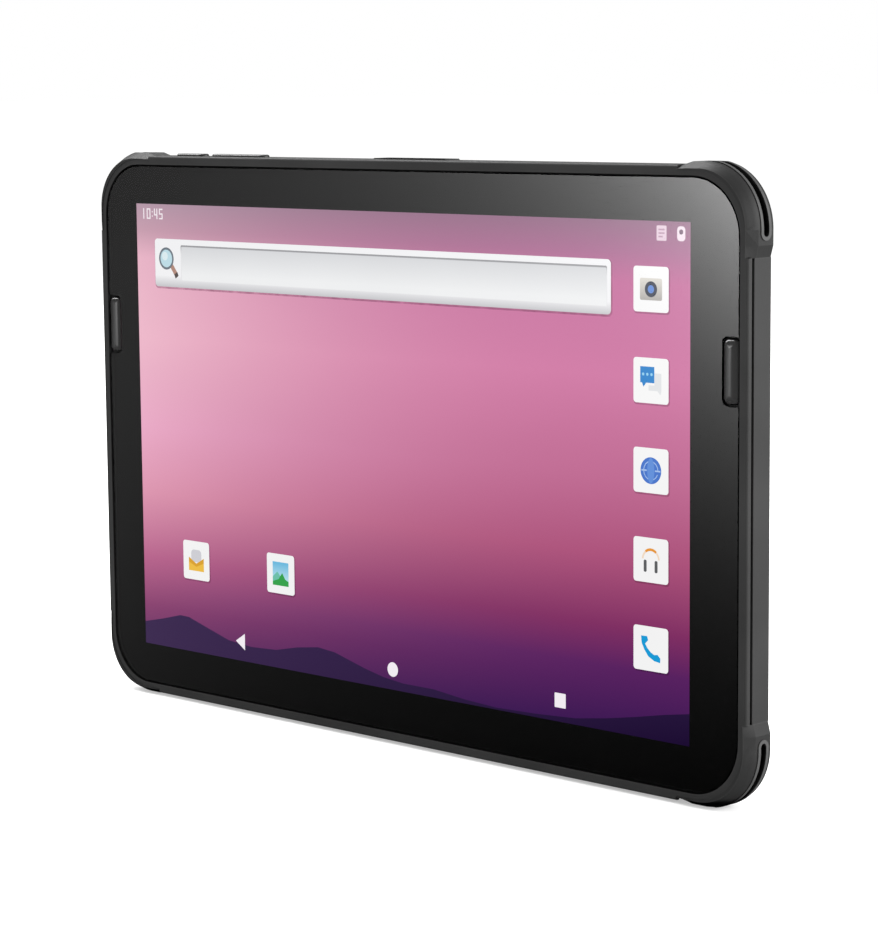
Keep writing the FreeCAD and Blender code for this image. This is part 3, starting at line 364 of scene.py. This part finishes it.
def rounded_box(x, z, half_x, half_z, radius):
    """Points round a rectangle with rounded corners, in millimetres."""
    points = []
    for sign_x, sign_z, start in ((1, 1, 0), (-1, 1, 90), (-1, -1, 180), (1, -1, 270)):
        points += disc(x + sign_x * (half_x - radius), z + sign_z * (half_z - radius), radius,
                       6, start, start + 90)
    return points


def new_piece(name, builder, material, place, body):
    """Turn a mesh under construction into a piece that rides a body."""
    bmesh.ops.recalc_face_normals(builder, faces=builder.faces)
    mesh = bpy.data.meshes.new(name)
    builder.to_mesh(mesh)
    builder.free()
    mesh.materials.append(material)
    piece = bpy.data.objects.new(name, mesh)
    piece.location = place
    scene.collection.objects.link(piece)
    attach(piece, body)
    return piece


def skin(builder, rings, smooth):
    """Faces between neighbouring rings of vertices; a ring may be one repeated vertex."""
    for first, second in zip(rings, rings[1:]):
        for index in range(len(first)):
            after = (index + 1) % len(first)
            corners = (first[index], first[after], second[after], second[index])
            builder.faces.new(list(dict.fromkeys(corners))).smooth = smooth


# ---------------------------------------------------------------- scan keys
# Crowned key cap: depth below the front of the device and inset from the key's edge, in millimetres.
KEY_CROWN = ((3.3, 0.0), (1.3, 0.0), (0.95, 0.04), (0.7, 0.16), (0.5, 0.36), (0.35, 0.66), (0.23, 1.02),
             (0.14, 1.42), (0.08, 1.84), (0.055, 2.2))
KEY_FLANGE = 0.6                # what the key's flange adds on each side
KEY_FLANGE_DEPTHS = (3.95, 3.3)
KEY_CORNER = 1.6
KEY_CORNER_LEAST = 0.18


def build_scan_key(side):
    """Crowned cap over the CAD key's flat one, with the same flange behind it."""
    node = f"scan_key_{side}"
    low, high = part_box(node)
    half_x = (high.x - low.x) / 2 / MM - KEY_FLANGE
    half_z = (high.z - low.z) / 2 / MM - KEY_FLANGE
    front = CAD_BOX[0].y
    builder = bmesh.new()
    rings = []
    for depth, inset in [(depth, -KEY_FLANGE) for depth in KEY_FLANGE_DEPTHS] + list(KEY_CROWN):
        corner = max(KEY_CORNER - inset, KEY_CORNER_LEAST)
        points = rounded_box(0, 0, half_x - inset, half_z - inset, corner)
        rings.append([builder.verts.new((x * MM, front + depth * MM, z * MM)) for x, z in points])
    skin(builder, rings, True)
    builder.faces.new(rings[0])
    builder.faces.new(rings[-1])
    place = ((low.x + high.x) / 2, 0.0, (low.z + high.z) / 2)
    cap = new_piece(f"{node}_cap", builder, SCAN_CAP, place, f"{node}_body")
    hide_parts(node)


build_scan_key("left")
build_scan_key("right")

# ---------------------------------------------------------------- rear camera
# Turned profiles behind the camera window: radius and depth below its outer face, in millimetres.
CAMERA_PANE = ((0, 0.18), (4.85, 0.18), (4.85, 0.04), (4.75, 0.0), (0, 0.0))
CAMERA_BARREL = ((0, 0.8), (4.85, 0.8), (4.85, 0.22), (4.35, 0.22), (4.2, 0.4), (3.7, 0.4), (3.55, 0.3),
                 (3.1, 0.3), (2.9, 0.5), (2.6, 0.5), (2.4, 0.68), (0, 0.68))
CAMERA_LENS = ((0, 0.68), (2.3, 0.68), (2.25, 0.6), (1.9, 0.46), (1.4, 0.35), (0.8, 0.28), (0, 0.26))
CAMERA_STEPS = 72
CAMERA_LOW, CAMERA_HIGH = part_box("camera_window")


def turned(name, profile, material, smooth):
    """Piece turned about the camera's axis, closed at both ends of its profile."""
    builder = bmesh.new()
    turns = [math.tau * step / CAMERA_STEPS for step in range(CAMERA_STEPS)]
    rings = []
    for radius, depth in profile:
        y = CAMERA_HIGH.y - depth * MM
        if radius == 0:
            rings.append([builder.verts.new((0, y, 0))] * CAMERA_STEPS)
        else:
            rings.append([builder.verts.new((radius * MM * math.cos(t), y, radius * MM * math.sin(t)))
                          for t in turns])
    skin(builder, rings, smooth)
    place = ((CAMERA_LOW.x + CAMERA_HIGH.x) / 2, 0.0, (CAMERA_LOW.z + CAMERA_HIGH.z) / 2)
    piece = new_piece(name, builder, material, place, "tablet")
    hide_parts("camera_window")


def build_camera():
    """The pane, the stepped barrel behind it and the domed lens in its middle."""
    pane = clear_pane("camera_pane", (0.9, 0.9, 0.92, 1), CAMERA_HIGH.y - SKIN, 1)
    barrel = moulded("camera_barrel", grey(0.010), grey(0.016), 0.4, 2600.0, 0.01, 0.5)
    lens = moulded("camera_lens", (0.006, 0.005, 0.02, 1), (0.012, 0.01, 0.045, 1), 0.1, 500.0, 0.0, 0.0)
    turned("camera_pane", CAMERA_PANE, pane, False)
    turned("camera_barrel", CAMERA_BARREL, barrel, False)
    turned("camera_lens", CAMERA_LENS, lens, True)


build_camera()

# ---------------------------------------------------------------- lit picture
SCREEN_CENTRE = sum(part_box("display_panel"), Vector()) / 2
FILM_LOW, FILM_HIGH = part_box("optical_adhesive")
SCREEN_HALF_X = (FILM_HIGH.x - FILM_LOW.x) / 2
SCREEN_HALF_Z = (FILM_HIGH.z - FILM_LOW.z) / 2
LAYER = (FILM_HIGH.y - FILM_LOW.y) / 7      # six thin layers share the film's thickness
LAYER_FILL = 0.8                            # how much of its layer a piece fills


def lit(name, colour):
    """Lit screen colour with the faint unevenness of a backlight."""
    s = Shader(name)
    cloud = s.spread(s.noise(30.0, 2.0), 0.3, 0.7, 0.97, 1.0)
    return s.surface(s.add("ShaderNodeEmission", Color=colour, Strength=cloud).outputs[0])


def rgb(red, green, blue):
    """Linear colour from display values of 0 to 255."""
    return tuple(((c / 255 + 0.055) / 1.055) ** 2.4 if c > 10 else c / 255 / 12.92
                 for c in (red, green, blue)) + (1.0,)


def lit_fade(name, low, high, low_colour, high_colour):
    """Lit colour that changes with the height above the middle of the screen, in millimetres."""
    s = Shader(name)
    cloud = s.spread(s.noise(30.0, 2.0), 0.3, 0.7, 0.98, 1.0)
    shade = s.mix(s.spread(s.axes()[2], low * MM, high * MM), rgb(*low_colour), rgb(*high_colour))
    return s.surface(s.add("ShaderNodeEmission", Color=shade, Strength=cloud).outputs[0])


def oval(half_x, half_z, steps=40):
    """Points round an ellipse about the origin, in millimetres."""
    return [(half_x * math.cos(math.tau * i / steps), half_z * math.sin(math.tau * i / steps))
            for i in range(steps)]


def arch(inner, outer, start, end):
    """Outline of part of a flat ring about the origin, angles in degrees."""
    return disc(0, 0, outer, 16, start, end) + disc(0, 0, inner, 16, start, end)[::-1]


def bar(x0, x1, z0, z1):
    """Rectangle between two corners, in millimetres."""
    return [(x0, z0), (x1, z0), (x1, z1), (x0, z1)]


def thin_piece(name, outlines, layer, material):
    """Closed flat pieces in one picture layer; layer 0 is at the back."""
    back = FILM_HIGH.y - layer * LAYER
    builder = bmesh.new()
    for outline in outlines:
        face = builder.faces.new([builder.verts.new((x * MM, 0.0, z * MM)) for x, z in outline])
        face.normal_update()
        moved = bmesh.ops.extrude_face_region(builder, geom=[face])["geom"]
        front = [v for v in moved if isinstance(v, bmesh.types.BMVert)]
        bmesh.ops.translate(builder, verts=front, vec=(0, -LAYER * LAYER_FILL, 0))
    return new_piece(name, builder, material, (SCREEN_CENTRE.x, back, SCREEN_CENTRE.z), "tablet")


# Screen colours from the bottom (0) to the top (1) of the wallpaper, at its left and right edges.
LEFT_SKY = ((0.0, (100, 46, 100)), (0.09, (142, 66, 115)), (0.2, (190, 102, 145)), (0.35, (228, 154, 181)),
            (0.5, (242, 175, 205)), (0.7, (247, 191, 210)), (0.88, (240, 186, 205)), (0.94, (206, 162, 180)),
            (1.0, (186, 156, 173)))
RIGHT_SKY = ((0.0, (56, 20, 84)), (0.13, (90, 29, 99)), (0.21, (130, 42, 100)), (0.35, (176, 79, 124)),
             (0.5, (196, 104, 148)), (0.7, (211, 117, 165)), (0.88, (198, 104, 156)), (0.94, (170, 100, 144)),
             (1.0, (146, 98, 130)))


def sky():
    """Wallpaper: two vertical ramps blended across the screen."""
    s = Shader("wallpaper_sky")
    x, _, z = s.axes()
    height = s.spread(z, -SCREEN_HALF_Z, SCREEN_HALF_Z)
    from_right = s.spread(x, -SCREEN_HALF_X, SCREEN_HALF_X, 1.0, 0.0)
    across = s.math("SUBTRACT", 1.0, s.math("MULTIPLY", from_right, from_right))
    ramps = []
    for stops in (LEFT_SKY, RIGHT_SKY):
        ramp = s.add("ShaderNodeValToRGB", Fac=height)
        elements = ramp.color_ramp.elements
        while len(elements) < len(stops):
            elements.new(0.5)
        for element, (place, colour) in zip(elements, stops):
            element.position = place
            element.color = rgb(*colour)
        ramps.append(ramp.outputs[0])
    shade = s.mix(across, *ramps)
    cloud = s.spread(s.noise(14.0, 3.0, (0.4, 1, 1.6)), 0.3, 0.7, 0.97, 1.02)
    return s.surface(s.add("ShaderNodeEmission", Color=shade, Strength=cloud).outputs[0])


def hills():
    """The dark hills at the foot of the wallpaper."""
    s = Shader("wallpaper_hills")
    x, _, z = s.axes()
    across = s.spread(x, -SCREEN_HALF_X, SCREEN_HALF_X)
    shade = s.mix(across, rgb(58, 36, 80), rgb(26, 6, 50))
    low = s.spread(z, -SCREEN_HALF_Z, -SCREEN_HALF_Z + 10 * MM)
    shade = s.mix(s.math("MULTIPLY", low, 0.3), shade, rgb(52, 30, 78))
    return s.surface(s.add("ShaderNodeEmission", Color=shade, Strength=1.0).outputs[0])


def show(name, x, z, layer, colour, *outlines):
    """Lit shapes drawn about one point of the screen."""
    moved = [[(x + dx, z + dz) for dx, dz in outline] for outline in outlines]
    return thin_piece("screen_" + name, moved, layer, lit("lit_" + name, rgb(*colour)))


def build_wallpaper():
    """The sky over the whole screen, with the hills along its foot."""
    half_x = SCREEN_HALF_X / MM
    half_z = SCREEN_HALF_Z / MM
    wallpaper = thin_piece("screen_wallpaper", [bar(-half_x, half_x, -half_z, half_z)], 0, sky())
    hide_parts("optical_adhesive")
    painted_rim_highlight = [(-half_x, -61), (-100, -59.2), (-92, -57.2), (-88, -57.3), (-80, -59.5), (-70, -62.2),
             (-60, -63), (-49, -62.5), (-40, -60.6), (-31, -59.4), (-24, -60), (-12, -63), (-4, -64.6),
             (4, -65.4), (16, -65.4), (28, -66.6), (40, -67.2), (55, -66.8), (69, -66), (80, -64.4),
             (90, -62.6), (100, -60.6), (half_x, -59.2)]
    thin_piece("screen_hills", [[(-half_x, -half_z)] + painted_rim_highlight + [(half_x, -half_z)]], 1, hills())


LOUPE = (-95.0, 51.5)           # middle of the loupe's glass


def build_search_bar():
    """White bar with a sunken field, a soft shadow and a loupe at its left end."""
    thin_piece("screen_bar_shadow", [rounded_box(-9.0, 49.9, 91.3, 7.5, 1.4)], 1,
               film("screen_shade", (0.6, 0.5, 0.56, 1)))
    thin_piece("screen_bar", [rounded_box(-9.2, 50.2, 91.0, 7.2, 1.2)], 2,
               lit_fade("lit_bar", 42.6, 46.4, (196, 196, 200), (250, 250, 252)))
    thin_piece("screen_field_edge", [rounded_box(-3.95, 50.35, 84.45, 5.35, 0.5)], 3,
               lit_fade("lit_field_edge", 53.0, 55.7, (236, 236, 238), (150, 150, 154)))
    thin_piece("screen_field", [rounded_box(-3.85, 50.2, 84.2, 5.0, 0.4)], 4,
               lit_fade("lit_field", 47.0, 55.2, (246, 247, 248), (222, 223, 226)))
    show("loupe_rim", *LOUPE, 3, (112, 122, 132), disc(0, 0, 3.35))
    show("loupe_glass", *LOUPE, 4, (196, 228, 238), disc(0, 0, 2.65))
    show("loupe_shine", *LOUPE, 5, (228, 244, 248), disc(-0.6, 0.7, 1.3))
    show("loupe_handle", *LOUPE, 3, (182, 140, 124), [(1.7, -2.5), (3.0, -1.7), (5.3, -4.5), (3.9, -5.3)])
    show("loupe_tip", *LOUPE, 4, (84, 74, 72), [(3.5, -4.7), (4.9, -3.9), (5.5, -5.0), (4.1, -5.9)])


# Middles of the tiles from the middle of the screen, in millimetres.
TILE_HALF = 5.9
RIGHT_TILES = 95.4
LOWER_TILES = -39.5
TILES = {"camera": (RIGHT_TILES, 50.2), "message": (RIGHT_TILES, 26.6), "globe": (RIGHT_TILES, 3.2),
         "music": (RIGHT_TILES, -20.3), "phone": (RIGHT_TILES, -43.7), "mail": (-84.0, LOWER_TILES),
         "picture": (-46.5, LOWER_TILES)}


def build_tiles():
    """Seven white tiles with soft shadows, each with a plain picture."""
    shade = film("tile_shade", (0.66, 0.58, 0.64, 1))
    for name, (x, z) in TILES.items():
        thin_piece(f"screen_{name}_shadow", [rounded_box(x + 0.25, z - 0.3, 6.1, 6.1, 1.0)], 1, shade)
        show(f"{name}_tile", x, z, 2, (253, 253, 253), rounded_box(0, 0, TILE_HALF, TILE_HALF, 0.9))
    x, z = TILES["camera"]
    thin_piece("screen_camera_body", [rounded_box(x, z, 3.7, 2.85, 0.5)], 3,
               lit_fade("lit_camera", z - 2.8, z + 2.8, (176, 172, 168), (226, 222, 214)))
    show("camera_rim", x, z, 4, (34, 44, 68), disc(0, 0, 2.05))
    show("camera_lens", x, z, 5, (92, 138, 216), disc(0, 0, 1.05))
    x, z = TILES["message"]
    show("message_back", x, z, 3, (232, 234, 236), bar(1.2, 3.5, -1.2, 2.0), bar(-0.8, 3.5, -2.6, -1.2),
         [(2.2, -2.6), (3.5, -2.6), (3.2, -3.6)])
    show("message_bubble", x, z, 3, (10, 132, 208), bar(-3.6, 1.15, -0.6, 3.6),
         [(-3.0, -0.6), (-1.6, -0.6), (-2.5, -1.7)])
    show("message_dots", x, z, 4, (150, 214, 246), disc(-2.6, 1.6, 0.4, 12), disc(-1.2, 1.6, 0.4, 12),
         disc(0.2, 1.6, 0.4, 12))
    x, z = TILES["globe"]
    show("globe_disc", x, z, 3, (66, 118, 208), disc(0, 0, 3.5))
    show("globe_lines", x, z, 4, (168, 198, 242), arch(2.3, 2.55, 0, 360), bar(-3.2, -1.4, -0.2, 0.2),
         bar(1.4, 3.2, -0.2, 0.2))
    show("globe_middle", x, z, 5, (96, 146, 224), oval(1.2, 3.3))
    x, z = TILES["music"]
    show("music_band", x, z, 3, (240, 156, 52), arch(2.45, 3.15, 50, 130))
    show("music_arms", x, z, 3, (250, 226, 200), arch(2.5, 3.05, 5, 49), arch(2.5, 3.05, 131, 175))
    show("music_pads", x, z, 4, (92, 94, 96), rounded_box(-1.9, -1.6, 0.5, 1.6, 0.4),
         rounded_box(1.8, -1.6, 0.5, 1.6, 0.4))
    x, z = TILES["phone"]
    show("phone_handset", x, z, 3, (16, 160, 222),
         [(-3.3, 3.2), (-3.1, 1.3), (-2.2, -0.4), (-0.8, -2.1), (1.2, -3.1), (3.2, -3.4), (3.25, -2.2),
          (2.3, -1.3), (1.2, -1.5), (-0.1, -0.85), (-1.25, 0.2), (-1.9, 1.2), (-0.9, 2.2), (-1.25, 3.25)])
    x, z = TILES["mail"]
    show("mail_sheet", x, z, 3, (214, 214, 220), rounded_box(0, 1.4, 2.3, 1.9, 1.2))
    show("mail_flap", x, z, 4, (226, 168, 44),
         [(-3.4, 0.9), (-3.4, -3.2), (3.4, -3.2), (3.4, 0.9), (0, -0.9)])
    show("mail_front", x, z, 5, (246, 196, 70),
         [(-3.4, -3.2), (3.4, -3.2), (3.4, -0.6), (0, -1.9), (-3.4, -0.6)])
    x, z = TILES["picture"]
    thin_piece("screen_picture_sky", [bar(x - 3.4, x + 3.4, z - 3.5, z + 3.5)], 3,
               lit_fade("lit_picture", z - 2.0, z + 3.5, (188, 232, 244), (104, 190, 230)))
    show("picture_hill", x, z, 4, (112, 200, 176),
         [(-3.4, -3.5), (0.6, -3.5), (0.6, -1.4), (-1.4, 0.6), (-3.4, -1.0)])
    show("picture_peak", x, z, 5, (52, 168, 76),
         [(-3.4, -3.5), (3.4, -3.5), (3.4, -2.0), (2.0, -1.5), (0.7, 0.4), (-0.9, -1.6), (-3.4, -2.4)])


# Bars of each sign of the clock: two x and two z limits, in millimetres.
CLOCK_BARS = {
    "1": ((0.7, 1.15, 0.0, 3.2),),
    "0": ((0.0, 0.45, 0.0, 3.2), (1.3, 1.75, 0.0, 3.2), (0.45, 1.3, 2.8, 3.2), (0.45, 1.3, 0.0, 0.4)),
    ":": ((0.1, 0.5, 0.7, 1.1), (0.1, 0.5, 2.0, 2.4)),
    "4": ((1.1, 1.55, 0.0, 3.2), (0.0, 0.45, 1.1, 3.2), (0.45, 1.1, 1.1, 1.5)),
    "5": ((0.0, 1.65, 2.8, 3.2), (0.0, 0.45, 1.4, 2.8), (0.45, 1.65, 1.4, 1.8), (1.2, 1.65, 0.4, 1.4),
          (0.0, 1.65, 0.0, 0.4)),
}


CLOCK_START = -106.0
CLOCK_HEIGHT = 63.2
SIGN_HEIGHT = 64.7
NAV_HEIGHT = -61.9
STATUS_WHITE = (252, 246, 252)


def build_status_row():
    """Clock digits and two small signs at the top, three navigation signs at the bottom."""
    outlines = []
    x = CLOCK_START
    for sign in "10:45":
        outlines += [bar(x + x0, x + x1, z0, z1) for x0, x1, z0, z1 in CLOCK_BARS[sign]]
        x += 1.1 if sign == ":" else 2.3
    show("clock", 0.0, CLOCK_HEIGHT, 2, (250, 240, 246), *outlines)
    show("sign_sheet", 98.9, SIGN_HEIGHT, 2, (232, 206, 222), rounded_box(0, 0, 1.65, 1.95, 0.3))
    show("sign_lines", 98.9, SIGN_HEIGHT, 3, (190, 150, 176), bar(-1.0, 1.0, 0.7, 1.1),
         bar(-1.0, 1.0, -0.2, 0.2), bar(-1.0, 0.4, -1.1, -0.7))
    show("sign_lock", 105.4, SIGN_HEIGHT, 2, (244, 226, 238), rounded_box(0, 0, 1.35, 1.9, 1.0))
    show("sign_lock_hole", 105.4, SIGN_HEIGHT, 3, (110, 74, 104), disc(0, 0.45, 0.65, 20))
    show("nav_back", -64.4, NAV_HEIGHT, 2, STATUS_WHITE, [(-2.3, 0.0), (1.7, -2.5), (1.7, 2.5)])
    show("nav_home", -0.2, NAV_HEIGHT, 2, STATUS_WHITE, disc(0, 0, 2.1))
    show("nav_recent", 63.6, NAV_HEIGHT, 2, STATUS_WHITE, rounded_box(0, 0, 2.0, 2.0, 0.2))


build_wallpaper()
build_search_bar()
build_tiles()
build_status_row()

# ---------------------------------------------------------------- camera
EYE = Vector((583.67, -586.91, 186.4)) * MM
YAW = math.radians(44.24)
PITCH = math.radians(7.53)
ROLL = math.radians(0.506)
FOCAL_LENGTH = 112.29           # millimetres, on a sensor 36 mm wide


def place_camera():
    """Camera at the viewing angle of a three-quarter product shot."""
    ahead = Vector((-math.sin(YAW) * math.cos(PITCH), math.cos(YAW) * math.cos(PITCH), -math.sin(PITCH)))
    right = Vector((math.cos(YAW), math.sin(YAW), 0))
    down = ahead.cross(right)
    turned_right = right * math.cos(ROLL) + down * math.sin(ROLL)
    turned_down = down * math.cos(ROLL) - right * math.sin(ROLL)
    turn = Matrix((turned_right, -turned_down, -ahead)).transposed()
    lens = bpy.data.cameras.new("camera")
    lens.lens = FOCAL_LENGTH
    lens.sensor_width = 36.0
    lens.clip_start = 0.01
    camera = bpy.data.objects.new("camera", lens)
    camera.matrix_world = Matrix.Translation(EYE) @ turn.to_4x4()
    scene.collection.objects.link(camera)
    scene.camera = camera


place_camera()


# ---------------------------------------------------------------- studio
FLOOR_REACH = 30.0
FLOOR_GLOW = 0.42               # lifts the floor to the white of the backdrop
LIGHT_TARGET = (0, 0, 0.08)
REFLECTOR_DISTANCE = 0.9        # behind the glass, along the mirrored view
REFLECTOR_HALF = 0.27
REFLECTOR_REACH = 0.2           # the shading stops changing this far from the middle
# Logarithm of the brightness: constant, x, y, x*x, y*y and x*y factors, in metres.
REFLECTOR_FADE = (-1.01, -2.0, 8.2, 15.8, -13.0, -32.6)
REFLECTOR_TOP = 1.9


def square(name, half, material):
    """Square facing its own z axis."""
    mesh = bpy.data.meshes.new(name)
    mesh.from_pydata([(-half, -half, 0), (half, -half, 0), (half, half, 0), (-half, half, 0)], [],
                     [(0, 1, 2, 3)])
    mesh.materials.append(material)
    piece = bpy.data.objects.new(name, mesh)
    scene.collection.objects.link(piece)
    return piece


def floor():
    """Pale matt floor that glows a little, so that it runs into the backdrop without a horizon."""
    s = Shader("floor")
    colour = s.mix(s.noise(60.0, 3.0), grey(0.61), grey(0.63))
    shader = s.add("ShaderNodeBsdfPrincipled", Base_Color=colour, Roughness=0.9)
    shader.inputs["Emission Color"].default_value = (1, 1, 1, 1)
    shader.inputs["Emission Strength"].default_value = FLOOR_GLOW
    shader.inputs["Specular IOR Level"].default_value = 0.0
    piece = square("floor", FLOOR_REACH, s.surface(shader.outputs[0]))
    piece.visible_glossy = False


def area_light(name, place, size, power):
    """Soft box aimed at the middle of the device."""
    data = bpy.data.lights.new(name, "AREA")
    data.shape = "RECTANGLE"
    data.size, data.size_y = size
    data.energy = power
    lamp = bpy.data.objects.new(name, data)
    lamp.location = place
    lamp.rotation_euler = (Vector(LIGHT_TARGET) - Vector(place)).to_track_quat("-Z", "Y").to_euler()
    scene.collection.objects.link(lamp)


def reflector():
    """Graded soft panel that the cover glass mirrors, brightest at its upper right as the glass shows it."""
    mirrored_eye = Vector((EYE.x, 2 * GLASS_FRONT - EYE.y, EYE.z))
    centre = Vector((0, GLASS_FRONT, (CAD_BOX[0].z + CAD_BOX[1].z) / 2))
    ahead = (centre - mirrored_eye).normalized()
    place = centre + ahead * REFLECTOR_DISTANCE
    s = Shader("reflector")
    reach = REFLECTOR_REACH
    across, height = (s.spread(place, -reach, reach, -reach, reach) for place in s.axes()[:2])
    terms = ((1.0, 1.0), (across, 1.0), (height, 1.0), (across, across), (height, height), (across, height))
    power = 0.0
    for factor, (first, second) in zip(REFLECTOR_FADE, terms):
        term = s.math("MULTIPLY", s.math("MULTIPLY", first, second), factor)
        power = s.math("ADD", power, term)
    power = s.math("EXPONENT", s.math("MINIMUM", power, REFLECTOR_TOP))
    glow = s.surface(s.add("ShaderNodeEmission", Strength=power).outputs[0])
    piece = square("reflector", REFLECTOR_HALF, glow)
    piece.matrix_world = Matrix.Translation(place) @ (-ahead).to_track_quat("Z", "Y").to_matrix().to_4x4()
    piece.visible_camera = False
    piece.visible_diffuse = False
    piece.visible_shadow = False


def studio():
    """White surroundings that gloss doesn't mirror, and four soft boxes."""
    world = bpy.data.worlds.new("studio")
    world.use_nodes = True
    background = world.node_tree.nodes["Background"]
    background.inputs["Color"].default_value = (1, 1, 1, 1)
    background.inputs["Strength"].default_value = 1.0
    world.cycles_visibility.glossy = False
    scene.world = world
    area_light("top_light", (-1.0, 0.25, 1.4), (1.2, 0.8), 32)
    area_light("side_light", (1.6, 0.75, 0.55), (1.5, 1.5), 66)
    area_light("back_light", (-0.9, 1.4, 0.6), (1.2, 1.0), 3)
    area_light("left_light", (-1.2, -0.12, 1.1), (0.5, 1.0), 16)


floor()
reflector()
studio()
scene.view_settings.view_transform = "Standard"
